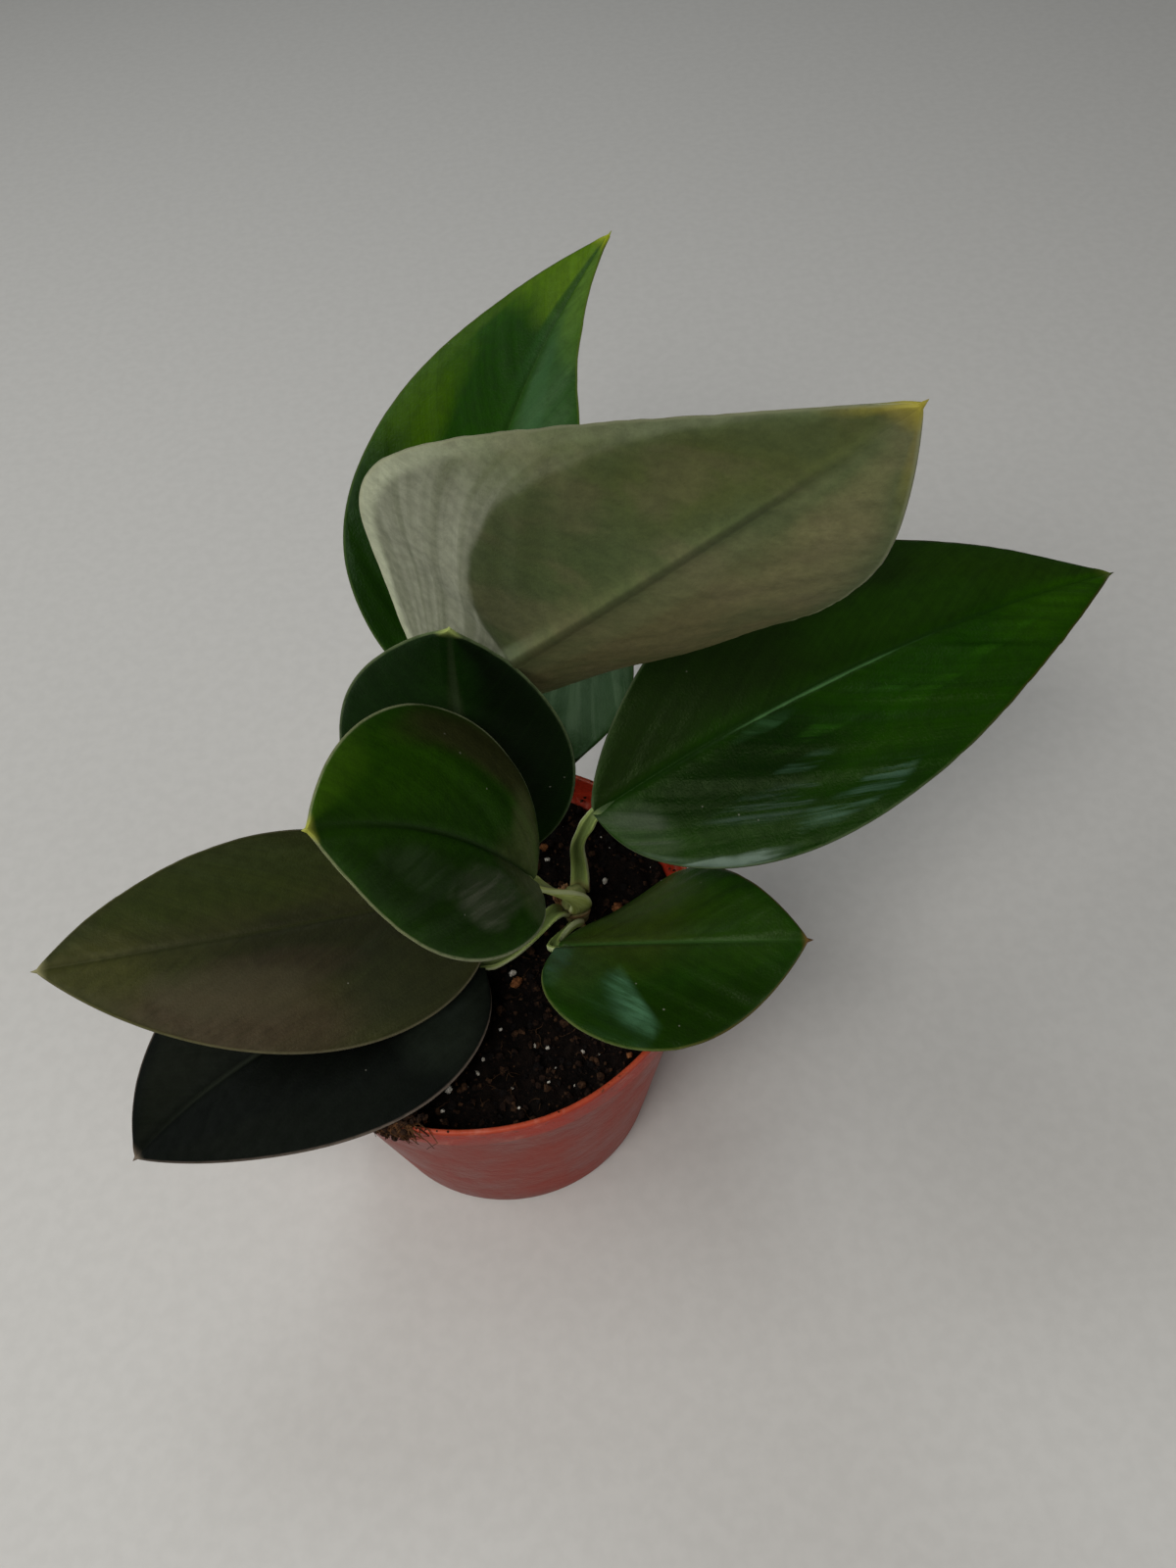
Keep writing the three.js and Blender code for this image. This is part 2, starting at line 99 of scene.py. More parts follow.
# White grains of perlite and amber pieces of bark, at (x, y, radius) on the bed
PERLITE = [
    (25.3, 12.7, 1.0), (5.4, -6.9, 1.25), (-7.6, -30.3, 1.2), (-2.2, -27.3, 0.75), (-1.0, -25.2, 0.5),
    (10.7, -30.9, 0.6), (15.5, -32.1, 0.55), (8.6, -22.7, 0.7), (11.0, -23.8, 0.6), (-4.4, -30.2, 0.6),
    (24.6, 30.2, 0.8), (20.2, 21.0, 0.6), (14.0, 19.5, 0.9), (22.6, 17.6, 0.55), (2.5, -19.0, 0.5),
    (17.5, -25.5, 0.7), (21.0, -20.2, 0.5), (-8.8, -34.2, 0.6), (-11.5, -31.0, 0.45), (5.0, -35.2, 0.5),
]
BARK = [
    (27.1, 5.2, 1.2), (6.0, -9.4, 1.3), (22.5, 25.6, 1.0), (13.3, 22.3, 1.3), (8.2, -37.6, 0.6),
    (25.9, -27.2, 0.6), (-12.0, -35.6, 0.9), (23.6, -30.0, 0.5),
]

# Stems
STEMS = {
    "stem_right": {"x": 19, "y": 5, "radius": 2.4, "top": 60},
    "stem_left": {"x": 3, "y": 12, "radius": 2.5, "top": 64},
}
STEM_SHOWN_FROM = 46
STEM_RINGS = 46
STEM_SIDES = 40
NODE_SPACING = 11
NODE_SWELLING = 0.35
NODE_RING = 0.22
TOP_NODE_DEPTH = 5
SCALE_THICKNESS = 0.32
SCALE_COLUMNS = 26
SCALE_ROWS = 12

# Blades
BLADE_THICKNESS = 0.7
MARGIN_THICKNESS = 0.34
MIDRIB_DEPTH = 0.9
BASE_LOBE = 2
LOBE_REACH = 0.03
TIP_SHARPNESS = 0.95
BLADE_ROWS = 116
MIDRIB_STEPS = 240
VEIN_SPACING = 7.5
VEIN_SWEEP = 1.15
VEIN_BEND = 0.95
VEIN_OFFSET = 40.35
VEIN_HEIGHT = 0.02
GROOVE_DEPTH = 0.36
SHOULDER_HEIGHT = 0.14
MARGIN_DROP = 0.22
SWELL_HEIGHT = 0.55
SWELL_LENGTH = 46
RUFFLE_HEIGHT = 0.35
RUFFLE_LENGTH = 26
FAR_SHORT = -50.0
UPPER_SLOT, LOWER_SLOT, RIM_SLOT = 0, 1, 2

# Petioles
PETIOLE_WIDTH = 2.3
PETIOLE_DEPTH = 2
PETIOLE_LEAN = 0.5
PETIOLE_PULL = 0.4
PETIOLE_STANDOFF = 1.2
PETIOLE_SIDES = 32
STALK_RINGS = 40
CLASP_TAPER = 1.7
GENICULUM_SWELLING = 0.6
GENICULUM_PLACE = 0.93
GENICULUM_SPREAD = 0.07
MIDRIB_RUN = 7
MIDRIB_RUN_RINGS = 14
MIDRIB_RUN_DROP = 0.75
MIDRIB_RUN_WIDTH = 1.5
MIDRIB_RUN_DEPTH = 1.3

# Floor and light
FLOOR_SIZE = 5000
LIGHT_DISTANCE = 950
PLANT_MIDDLE = (20, 10, 90)

# The camera looks down at this angle, turned a little, from this place in millimetres
CAMERA_ELEVATION = 50.1
CAMERA_ROLL = -6.7
CAMERA_OFFSET = (-21.0, 28.2, 265.2)
LENS_PIXELS = 1400
IMAGE_HEIGHT = 1600


def new_leaf(**own):
    """A leaf's sizes and colours, with those that most leaves share."""
    shared = dict(
        sheens=[], creases=[], beyond=None, blotches=None, glint_end=None,
        vein=0.02, streaky=0.16, tint=(0.8, 1.0, 0.7),
    )
    return {**shared, **own}


# Each leaf has the sizes and angles of its solid, in pairs for base and tip or for left and right.
# The colours are the ground colour of the shown side, the edge colours near the base and near the
# tip, and those of the tip and the midrib. A zone is a soft patch at (share of the length, share of
# the half width, negative on the right side), with two radii, colour and strength. The zones hold the
# leaf's own colour and also painted light and shade: paler where a part faces the lights, darker where
# it lies in shade. A sheen is a painted highlight: a zone that also says how far streaks along the
# veins break it up. Where there is a glint_end, the first sheen stops at the line from its first to
# its second (share, share of the half width) point. A crease bends the part of one side outside a line
# of such points, by a slope over a soft width, and beyond is the colour of the painted light on the
# part past the crease, and its strength. Blotches are two cloudy colours and their strength.
LEAVES = {
    "back": new_leaf(
        base=(21, 18.5, 81.5), length=131, half=(29, 26.5), widest=(0.44, 0.28),
        heading=124, turn=-96, rise=(1.5, 43), roll=(17, -8), fold=(26, 13), curl=(-9, -6),
        stem="stem_left", bearing=10, start=58, sheath=1.6, arrive=(0.45, 0.35, 0.82), seat=1.45,
        slot="blade_green", ground=0x1E4303, edges=(0x3C5420, 0x46580F), tip=0x8F9A1E, rib=0x23420F,
        shine=0.11, gloss=0.38, pleat=(0.2, 0.2), seed=1,
        zones=[
            (0.78, 0.34, 0.22, 0.4, 0x183A06, 0.85), (0.62, 0.74, 0.15, 0.26, 0x385602, 0.9),
            (0.8, 0.93, 0.3, 0.14, 0x3A580A, 0.8), (0.4, 0.86, 0.22, 0.4, 0x122C00, 0.9),
            (0.95, 0.2, 0.13, 1.3, 0x54740E, 0.85), (0.86, 0.06, 0.2, 0.12, 0x1C4210, 0.8),
            (0.76, -0.45, 0.26, 0.55, 0x36562E, 0.85), (0.92, -0.7, 0.16, 0.6, 0x56762A, 0.7),
            (0.15, -0.6, 0.2, 0.6, 0x2A4A2A, 0.8),
        ],
        sheens=[(0.14, -0.6, 0.18, 0.55, 0x5C7454, 0.75, 0.5), (0.7, -0.3, 0.14, 0.2, 0x3A5E3A, 0.4, 0.3)],
        vein=0.03,
    ),
    "tall": new_leaf(
        base=(-0.5, 18.5, 102), length=122, half=(32, 36.5), widest=(0.4, 0.42),
        heading=-42, turn=5, rise=(47, 48.5), roll=(-73, -69), fold=(31, -7), curl=(29, -19),
        stem="stem_left", bearing=105, start=60, sheath=1.6, arrive=(0.15, -0.1, 0.98), seat=0.95,
        slot="blade_pale", ground=0x5E6940, edges=(0xB4B894, 0x85896A), tip=0x9A9034, rib=0x7C8A5C,
        shine=0.14, gloss=0.60, pleat=(0.16, 0.2), seed=2,
        zones=[
            (0.55, -0.92, 0.25, 0.22, 0x68743F, 0.7), (0.45, -0.35, 0.35, 0.3, 0x525E37, 0.75),
            (0.85, -0.4, 0.22, 0.5, 0x565F28, 0.7), (0.34, -0.2, 0.12, 0.2, 0x4C5638, 0.6),
            (0.35, 0.5, 0.45, 0.6, 0x776F4A, 0.85), (0.75, 0.55, 0.22, 0.4, 0x7E7B52, 0.8),
            (0.5, 0.12, 0.4, 0.12, 0x767A52, 0.6), (1.0, 0.0, 0.035, 1.5, 0x8A8028, 0.75),
            (0.99, -0.95, 0.06, 0.5, 0x8C8430, 0.7), (0.97, 0.95, 0.1, 0.24, 0x8E8840, 0.6),
        ],
        creases=[
            (-1, [(0, -0.25), (0.24, 0.0), (0.258, 0.19), (0.295, 0.33), (0.348, 0.43), (0.402, 0.5),
                  (0.465, 0.56), (0.552, 0.65), (0.682, 0.74), (0.8, 0.84), (1, 1)], 0.34, 0.5),
        ],
        beyond=(0x9DA08A, 0.9), blotches=(0x4C5E36, 0x7C7254, 0.3), streaky=0.02, vein=0.0,
    ),
    "upright": new_leaf(
        base=(3, 8.5, 69), length=69, half=(21.5, 19), widest=(0.47, 0.41),
        heading=293.5, turn=-3, rise=(92.5, 72.5), roll=(157, 148), fold=(14, -12), curl=(-14, -5),
        stem="stem_left", bearing=190, start=57, sheath=1.2, arrive=(0.25, 0.05, 0.97), seat=0.6,
        slot="blade_dark", ground=0x0C2005, edges=(0x46563A, 0x5C6B47), tip=0x93A05A, rib=0x2C3A22,
        shine=0.09, gloss=0.42, pleat=(0.12, 0.12), seed=3,
        zones=[
            (0.7, 0.7, 0.4, 0.6, 0x12290A, 0.8), (0.6, -0.6, 0.5, 0.5, 0x070F05, 0.8),
            (0.85, 0.0, 0.25, 0.5, 0x153007, 0.6), (0.55, 0.0, 0.6, 0.09, 0x26331A, 0.7),
        ],
    ),
    "right": new_leaf(
        base=(24.5, 5.5, 82.5), length=110, half=(27, 27.5), widest=(0.5, 0.39),
        heading=20.5, turn=-5, rise=(18.5, -5), roll=(41, -10), fold=(16, 6), curl=(-12, -14),
        stem="stem_right", bearing=70, start=56, sheath=1.8, arrive=(0.5, 0.1, 0.86), seat=1.1,
        slot="blade_green", ground=0x193A01, edges=(0x4A5A3A, 0x3A3A14), tip=0x4E5A20, rib=0x142E08,
        shine=0.09, gloss=0.34, pleat=(0.1, 0.42), seed=4, tint=(0.75, 1.0, 0.5),
        zones=[
            (0.4, 0.58, 0.8, 0.62, 0x18280A, 0.95), (0.88, 0.6, 0.22, 0.6, 0x203A06, 0.8),
            (0.62, -0.3, 0.3, 0.28, 0x173C00, 0.8), (0.9, -0.4, 0.16, 0.7, 0x254A00, 0.9),
            (0.62, 0.3, 0.22, 0.24, 0x203E08, 0.7),
            (0.24, -0.32, 0.26, 0.4, 0x0A2002, 0.97), (0.32, -0.9, 0.3, 0.3, 0x112C04, 0.8),
        ],
        sheens=[
            (0.25, -0.62, 0.11, 0.14, 0x34463A, 0.9, 1.0), (0.41, -0.82, 0.14, 0.09, 0x3E5A48, 0.85, 1.0),
            (0.04, -0.55, 0.08, 0.5, 0x4A5444, 0.65, 0.6), (0.16, -0.95, 0.13, 0.07, 0x74867A, 0.8, 0.8),
            (0.34, -0.46, 0.07, 0.06, 0x304A36, 0.7, 1.0), (0.32, -0.09, 0.07, 0.05, 0x2C4C2C, 0.7, 0.7),
            (0.44, -0.02, 0.2, 0.022, 0x4E7A44, 0.75, 0.0), (0.45, -0.3, 0.14, 0.07, 0x24500C, 0.6, 0.9),
            (0.66, -0.45, 0.2, 0.07, 0x265204, 0.5, 0.8),
        ],
        creases=[(-1, [(0, 0.1), (0.12, 0.3), (0.25, 0.52), (0.4, 0.72), (0.6, 0.9), (1, 1)], 0.16, 2.5)],
    ),
    "small": new_leaf(
        base=(15, -9, 62.5), length=47, half=(20.5, 22.5), widest=(0.43, 0.41),
        heading=-20, turn=17, rise=(22, -5.5), roll=(-26, 22), fold=(-1, 7), curl=(-25, -10),
        stem="stem_right", bearing=268, start=54, sheath=0.6, arrive=(0.3, -0.6, 0.74), seat=1.7,
        slot="blade_green", ground=0x1C3A08, edges=(0x5C6B33, 0x574A22), tip=0x6B4E2A, rib=0x2C4A1C,
        shine=0.14, gloss=0.34, pleat=(0.2, 0.2), seed=5, tint=(0.8, 1.0, 0.6),
        zones=[
            (0.1, -0.3, 0.2, 0.6, 0x33481F, 0.8), (0.35, 0.3, 0.35, 0.7, 0x344212, 0.8),
            (0.75, 0.2, 0.3, 0.7, 0x233F08, 0.7), (0.6, -0.75, 0.4, 0.4, 0x152D02, 0.85),
        ],
        sheens=[
            (0.36, -0.66, 0.15, 0.44, 0x4E7A5A, 0.85, 0.6), (0.04, -0.5, 0.09, 0.5, 0x40604C, 0.6, 0.5),
            (0.35, 0.62, 0.3, 0.34, 0x36492A, 0.3, 0.3),
        ],
        glint_end=(0.27, -0.14, 0.48, -0.78),
        creases=[(-1, [(0, 0.15), (0.2, 0.35), (0.45, 0.6), (0.8, 0.9), (1, 1)], -0.12, 2.0)],
    ),
    "centre": new_leaf(
        base=(13, -14, 91), length=56, half=(20, 22.5), widest=(0.48, 0.44),
        heading=207.5, turn=14, rise=(68.5, 37), roll=(-24, -43), fold=(29, -9), curl=(-21, -20),
        stem="stem_right", bearing=285, start=58.5, sheath=2.4, arrive=(-0.2, -0.42, 0.88), seat=0.7,
        slot="blade_green", ground=0x1F3D06, edges=(0x868C6C, 0x8A9068), tip=0x9A9C40, rib=0x182A0C,
        shine=0.09, gloss=0.42, pleat=(0.2, 0.16), seed=6,
        zones=[
            (0.65, -0.5, 0.35, 0.4, 0x244602, 0.8), (0.9, -0.8, 0.2, 0.5, 0x3A5C0C, 0.8),
            (0.3, -0.8, 0.36, 0.24, 0x31311A, 0.9), (0.12, 0.1, 0.16, 0.5, 0x3A4420, 0.8),
            (0.6, 0.6, 0.34, 0.5, 0x17290A, 0.8),
        ],
        sheens=[
            (0.38, 0.5, 0.16, 0.3, 0x565A4A, 0.75, 0.6), (0.1, 0.62, 0.14, 0.4, 0x4C5A34, 0.75, 0.4),
            (0.08, -0.5, 0.14, 0.42, 0x4C5430, 0.8, 0.3), (0.64, 0.35, 0.16, 0.22, 0x34442A, 0.5, 0.6),
        ],
    ),
    "left": new_leaf(
        base=(1, 3, 67), length=81, half=(24.5, 21), widest=(0.36, 0.44),
        heading=198, turn=-17, rise=(16, -3), roll=(-6, -16), fold=(3, 7), curl=(-25, -17),
        stem="stem_left", bearing=275, start=54.5, sheath=1.2, arrive=(-0.5, -0.45, 0.74), seat=1.0,
        slot="blade_olive", ground=0x2F3117, edges=(0x5A5540, 0x5C5A38), tip=0x8A8660, rib=0x23260F,
        shine=0.10, gloss=0.46, pleat=(0.14, 0.14), seed=7, tint=(1.0, 0.95, 0.7),
        zones=[
            (0.6, -0.6, 0.4, 0.5, 0x2B3410, 0.85), (0.35, 0.15, 0.3, 0.35, 0x1F2012, 0.8),
            (0.6, 0.75, 0.3, 0.4, 0x3F3426, 0.85), (0.9, 0.2, 0.18, 0.9, 0x3E3F1C, 0.8),
            (0.2, 0.6, 0.2, 0.5, 0x24281A, 0.6), (0.5, 0.35, 0.2, 0.2, 0x342C20, 0.6),
        ],
        sheens=[(0.6, 0.5, 0.2, 0.3, 0x44402E, 0.5, 0.2)],
    ),
    "low": new_leaf(
        base=(0.5, -8.5, 59), length=76, half=(24, 23), widest=(0.38, 0.46),
        heading=196.5, turn=7, rise=(16.5, -38), roll=(-7, -16), fold=(3, 17), curl=(-9, -14),
        stem="stem_right", bearing=222, start=56.8, sheath=1.2, arrive=(-0.93, -0.1, 0.22), seat=0.4,
        slot="blade_dark", ground=0x0F1210, edges=(0x6A5E54, 0x5A5048), tip=0x7A6E60, rib=0x20241C,
        shine=0.025, gloss=0.50, pleat=(0.08, 0.08), seed=8, tint=(0.95, 1.0, 0.9),
        zones=[
            (0.75, -0.4, 0.3, 0.5, 0x171A13, 0.8), (0.4, 0.2, 0.3, 0.4, 0x090B08, 0.8),
            (0.6, 0.8, 0.4, 0.3, 0x121510, 0.6), (0.12, 0.2, 0.17, 0.9, 0x222820, 0.8),
        ],
        sheens=[(0.12, -0.2, 0.14, 0.7, 0x2A322C, 0.8, 0.2)], vein=0.006,
    ),
}


# Small tools
def colour(code):
    """Linear colour of a 0xrrggbb code."""
    parts = [(code >> shift & 255) / 255 for shift in (16, 8, 0)]
    linear = [c / 12.92 if c <= 0.04045 else ((c + 0.055) / 1.055) ** 2.4 for c in parts]
    return (*linear, 1.0)


def blend(a, b, t):
    return a + (b - a) * t


def smooth(value, low, high):
    t = np.clip((value - low) / (high - low), 0, 1)
    return t * t * (3 - 2 * t)


def unit(v):
    return v / np.maximum(np.linalg.norm(v, axis=-1, keepdims=True), 1e-12)


def bump_of(value, place, spread):
    return np.exp(-(((value - place) / spread) ** 2))


def polar(radius, angle):
    return radius * math.cos(angle), radius * math.sin(angle)


def ripples(x, y, seed, wavelength, count=5):
    """A smooth random height between about -1 and 1, from a few crossing waves."""
    rng = np.random.default_rng(seed)
    total = np.zeros_like(x + y)
    for _ in range(count):
        angle = rng.uniform(0, math.pi)
        size = wavelength * rng.uniform(0.7, 1.5)
        phase = rng.uniform(0, FULL_TURN)
        total += np.sin(FULL_TURN * (x * math.cos(angle) + y * math.sin(angle)) / size + phase)
    return total / math.sqrt(2 * count)


def tube_faces(rings, sides):
    """Faces of a tube of closed rings of points, with a flat cap at each end."""
    last = (rings - 1) * sides
    faces = []
    for a in range(0, last, sides):
        for k in range(sides):
            n = (k + 1) % sides
            faces.append((a + k, a + n, a + sides + n, a + sides + k))
    return faces + [tuple(range(sides))[::-1], tuple(range(last, last + sides))]


def turned_faces(rings, sides):
    """Faces of a body of closed rings between a first and a last point on its axis."""
    last = 1 + (rings - 1) * sides
    faces = []
    for k in range(sides):
        n = (k + 1) % sides
        faces.append((0, 1 + n, 1 + k))
        for a in range(1, last, sides):
            faces.append((a + k, a + n, a + sides + n, a + sides + k))
        faces.append((last + k, last + n, last + sides))
    return faces


def mesh_object(name, points, faces, materials, face_slots=None, fields=None, smooth_shading=True):
    """A mesh from points in millimetres. fields holds one vector for each point, by name."""
    mesh = bpy.data.meshes.new(name)
    points = np.asarray(points, float).reshape(-1, 3)
    mesh.from_pydata((points * MM).tolist(), [], [tuple(int(i) for i in f) for f in faces])
    for material in materials:
        mesh.materials.append(material)
    if face_slots is not None:
        mesh.polygons.foreach_set("material_index", np.asarray(face_slots, np.int32))
    for key, values in (fields or {}).items():
        layer = mesh.attributes.new(key, "FLOAT_VECTOR", "POINT")
        layer.data.foreach_set("vector", np.asarray(values, np.float32).reshape(-1))
    mesh.polygons.foreach_set("use_smooth", np.full(len(mesh.polygons), smooth_shading))
    mesh.update()
    made = bpy.data.objects.new(name, mesh)
    bpy.context.scene.collection.objects.link(made)
    return made


def carried(made, slot, *nodes):
    """Puts a piece on the body and in the place of these nodes of the solid model. The slot is not used."""
    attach(made, ROOT)
    if nodes:
        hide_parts(*nodes)
    return made


# Materials
class Value:
    """The output of a node in a look. Arithmetic with it adds nodes to that look."""

    def __init__(self, look, socket):
        self.look = look
        self.socket = socket

    def __add__(self, other):
        return self.look.math("ADD", self, other)

    def __sub__(self, other):
        return self.look.math("SUBTRACT", self, other)

    def __mul__(self, other):
        return self.look.math("MULTIPLY", self, other)

    def __truediv__(self, other):
        return self.look.math("DIVIDE", self, other)

    def __abs__(self):
        return self.look.math("ABSOLUTE", self)

    def ramp(self, low, high, to_low=0.0, to_high=1.0):
        """Goes smoothly from to_low at low to to_high at high, and stays level outside."""
        inputs = enumerate((self, low, high, to_low, to_high))
        return self.look.node("ShaderNodeMapRange", dict(inputs), interpolation_type="SMOOTHSTEP")


class Look:
    """A Principled material. Its paint starts as one colour, and each coat lays another over it.
    Places and heights on the object are in metres."""

    def __init__(self, name, roughness=0.5, level=0.5):
        self.material = bpy.data.materials.new(name)
        self.material.use_nodes = True
        self.tree = self.material.node_tree
        self.shader = self.tree.nodes["Principled BSDF"]
        self.set("Roughness", roughness)
        self.set("Specular IOR Level", level)
        self.paint = None

    def put(self, socket, value):
        """Links a value to a socket, or sets it to a number, a vector or a 0xrrggbb colour."""
        if isinstance(value, Value):
            self.tree.links.new(value.socket, socket)
        else:
            socket.default_value = colour(value) if socket.type == "RGBA" else value

    def set(self, name, value):
        self.put(self.shader.inputs[name], value)

    def node(self, kind, inputs, output=0, **settings):
        """Output of a new node, with its inputs given by number or name."""
        made = self.tree.nodes.new(kind)
        for key, value in settings.items():
            setattr(made, key, value)
        for key, value in inputs.items():
            self.put(made.inputs[key], value)
        return Value(self, made.outputs[output])

    def field(self, name):
        return self.node("ShaderNodeAttribute", {}, "Vector", attribute_name=name)

    def place(self):
        return self.node("ShaderNodeTexCoord", {}, "Object")

    def parts(self, vector):
        """The x, y and z of a vector."""
        split = self.node("ShaderNodeSeparateXYZ", {0: vector})
        return [Value(self, output) for output in split.socket.node.outputs]

    def vector(self, x, y, z=0.0):
        return self.node("ShaderNodeCombineXYZ", {0: x, 1: y, 2: z})

    def scaled(self, vector, scale):
        return self.node("ShaderNodeVectorMath", {0: vector, 1: scale}, operation="MULTIPLY")

    def math(self, operation, a, b=0.0):
        return self.node("ShaderNodeMath", {0: a, 1: b}, operation=operation)

    def mix(self, mask, a, b):
        """Colour a where the mask is 0 and colour b where it is 1."""
        return self.node("ShaderNodeMix", {0: mask, 6: a, 7: b}, 2, data_type="RGBA")

    def noise(self, vector, scale, detail=3, roughness=0.5, distortion=0.0):
        inputs = {"Vector": vector, "Scale": scale, "Detail": detail}
        return self.node("ShaderNodeTexNoise", {**inputs, "Roughness": roughness, "Distortion": distortion})

    def cells(self, vector, scale, output="Distance"):
        return self.node("ShaderNodeTexVoronoi", {"Vector": vector, "Scale": scale}, output)

    def specks(self, vector, scale, rarity, size):
        """A mask of small round specks, one in some of the cells."""
        chance = self.parts(self.cells(vector, scale, "Color"))[0]
        chosen = self.math("GREATER_THAN", chance, rarity)
        return self.cells(vector, scale).ramp(size, size * 0.6) * chosen

    def coat(self, mask, shade):
        self.paint = self.mix(mask, self.paint, shade)

    def relief(self, height, distance):
        """Adds a bump to the surface, of this distance in metres where the height is 1."""
        normal = self.shader.inputs["Normal"]
        inputs = {"Height": height, "Strength": 1.0, "Distance": distance}
        if normal.is_linked:
            inputs["Normal"] = Value(self, normal.links[0].from_socket)
        self.put(normal, self.node("ShaderNodeBump", inputs))

    def painted(self):
        self.set("Base Color", self.paint)
        return self.material


class Skin(Look):
    """Shared parts of both sides of a blade. "leaf" holds the reach, the distance from the midrib and
    the distance from the margin, and "folds" the distance past the crease, all in millimetres; "veins"
    holds the count of veins, the side and the share."""

    def __init__(self, name, roughness, level, leaf):
        super().__init__(name, roughness, level)
        self.leaf = leaf
        spot = self.field("leaf")
        _, self.out, self.margin = self.parts(spot)
        self.vein, self.side, self.share = self.parts(self.field("veins"))
        self.past_fold = self.parts(self.field("folds"))[0]
        self.flat = self.scaled(spot, (1, 1, 0))
        self.clouds = self.noise(self.scaled(self.flat, (0.06, 0.1, 1)), 1.0, 3, 0.55, 0.3)
        self.mottle = self.noise(self.flat, 0.42, 4, 0.62)
        self.streaks = self.noise(self.vector(self.vein * 3.1, self.share * 3.0), 1.6, 3, 0.6)
        self.brush = self.noise(self.vector(self.vein * 1.1, self.share * 2.2), 1.5, 4, 0.6, 0.4)
        self.on_vein = abs(self.math("SINE", self.vein * math.pi)).ramp(0.2, 0.0)

    def patch(self, waver, at_share, at_side, share_radius, side_radius, strength):
        """A soft round mask on the blade, with a wavering border."""
        along = (self.share - at_share) / share_radius
        aside = (self.side - at_side) / side_radius
        return (along * along + aside * aside + waver).ramp(1.25, 0.1, 0.0, strength)

    def ground(self):
        waver = (self.clouds - 0.5) * 1.1
        self.paint = self.leaf["ground"]
        for *where, shade, strength in self.leaf["zones"]:
            self.coat(self.patch(waver, *where, strength), shade)
        if self.leaf["blotches"]:
            self.blotched(*self.leaf["blotches"])
        # Painted light past the crease, and painted shade just before it.
        if self.leaf["beyond"]:
            self.paint_light_past_crease(waver, *self.leaf["beyond"])
        self.coat(self.streaks.ramp(0.38, 0.7, 0.0, self.leaf["streaky"]), 0x000700)
        self.coat(self.mottle.ramp(0.3, 0.72, 0.0, 0.24), 0x000000)

    def blotched(self, one, other, strength):
        """Clouds of two colours, and a fine dark grain."""
        cloudy = self.noise(self.flat, 0.07, 3, 0.5, 0.3)
        self.coat(cloudy.ramp(0.5, 0.36, 0.0, strength), one)
        self.coat(cloudy.ramp(0.5, 0.64, 0.0, strength), other)
        self.coat(self.noise(self.flat, 1.3, 3, 0.6).ramp(0.4, 0.66, 0.0, 0.1), 0x2E3420)

    def paint_light_past_crease(self, waver, shade, strength):
        """Painted light and shade at the crease. The part past it, gathered and with a rolled edge, is
        painted paler where it turns to the light, with a painted highlight along the rolled edge; just
        before the crease lies a band of painted shade.
        """
        fading = self.share.ramp(0.75, 0.4, 0.15, 1.0)
        # Painted shade: a darker band just before the crease.
        self.coat(self.past_fold.ramp(-14.0, -0.5, 0.0, 0.3) * fading, 0x2E3318)
        past = (self.past_fold + waver * 1.2).ramp(-0.6, 0.9, 0.0, strength) * fading
        lines = self.vector(self.share * 20.0 + self.side * 15.0, self.share)
        gathers = self.noise(lines, 1.3, 2, 0.4, 0.2).ramp(0.36, 0.64)
        # Painted highlight along the rolled edge, then the paler painted light over the part past the
        # crease.
        rolled_edge_highlight = (self.margin - self.clouds * 2.0).ramp(3.0, 0.6, 0.0, 0.85)
        self.coat(past, self.mix(rolled_edge_highlight, self.mix(gathers, 0x868A72, shade), 0xD0D6B6))

    def before_line(self, share, side, share_end, side_end):
        """A mask that rises towards a line across the blade and stops sharply there."""
        size = math.hypot(share_end - share, side_end - side)
        ahead = (self.share - share) * ((side - side_end) / size)
        past = ahead + (self.side - side) * ((share_end - share) / size)
        return past.ramp(0.018, -0.018) * past.ramp(-0.15, -0.02, 0.1, 1.0)

    def paint_sheens(self):
        """Painted sheen: paler streaks and patches that stand in for highlights on the glossy skin."""
        waver = (self.noise(self.flat, 0.13, 3, 0.5, 0.4) - 0.5) * 2.0
        for number, (*where, shade, strength, brushed) in enumerate(self.leaf["sheens"]):
            mask = self.patch(waver, *where, strength)
            if number == 0 and self.leaf["glint_end"]:
                mask = mask * self.before_line(*self.leaf["glint_end"])
            self.coat(mask * self.brush.ramp(0.43, 0.6, 1.0 - brushed, 1.0), shade)

    def border(self):
        """The colour of the edge, from the base to the tip."""
        return self.mix(self.share.ramp(0.4, 0.75), *self.leaf["edges"])

    def edged(self, reach_in, strength):
        """Pale or brown edge, and a tip of another colour. The pale edge is partly the margin's own colour
        and partly a painted highlight where light glances along it.
        """
        edge = self.margin.ramp(reach_in, 0.08) * self.mottle.ramp(0.3, 0.6, 0.45, 1.0)
        self.coat(edge * strength, self.border())
        point = self.share.ramp(0.965, 0.999) * self.margin.ramp(1.6, 0.0, 0.5, 1.0)
        self.coat(point, self.leaf["tip"])

    def grain(self, pebble, wrinkle):
        self.relief(self.noise(self.flat, 2.1, 3, 0.6), pebble)
        self.relief(self.streaks, wrinkle)
        self.relief(self.mottle, wrinkle * 3)


# The slot of a blade that shows its underside
PALE_SLOT = "blade_pale"

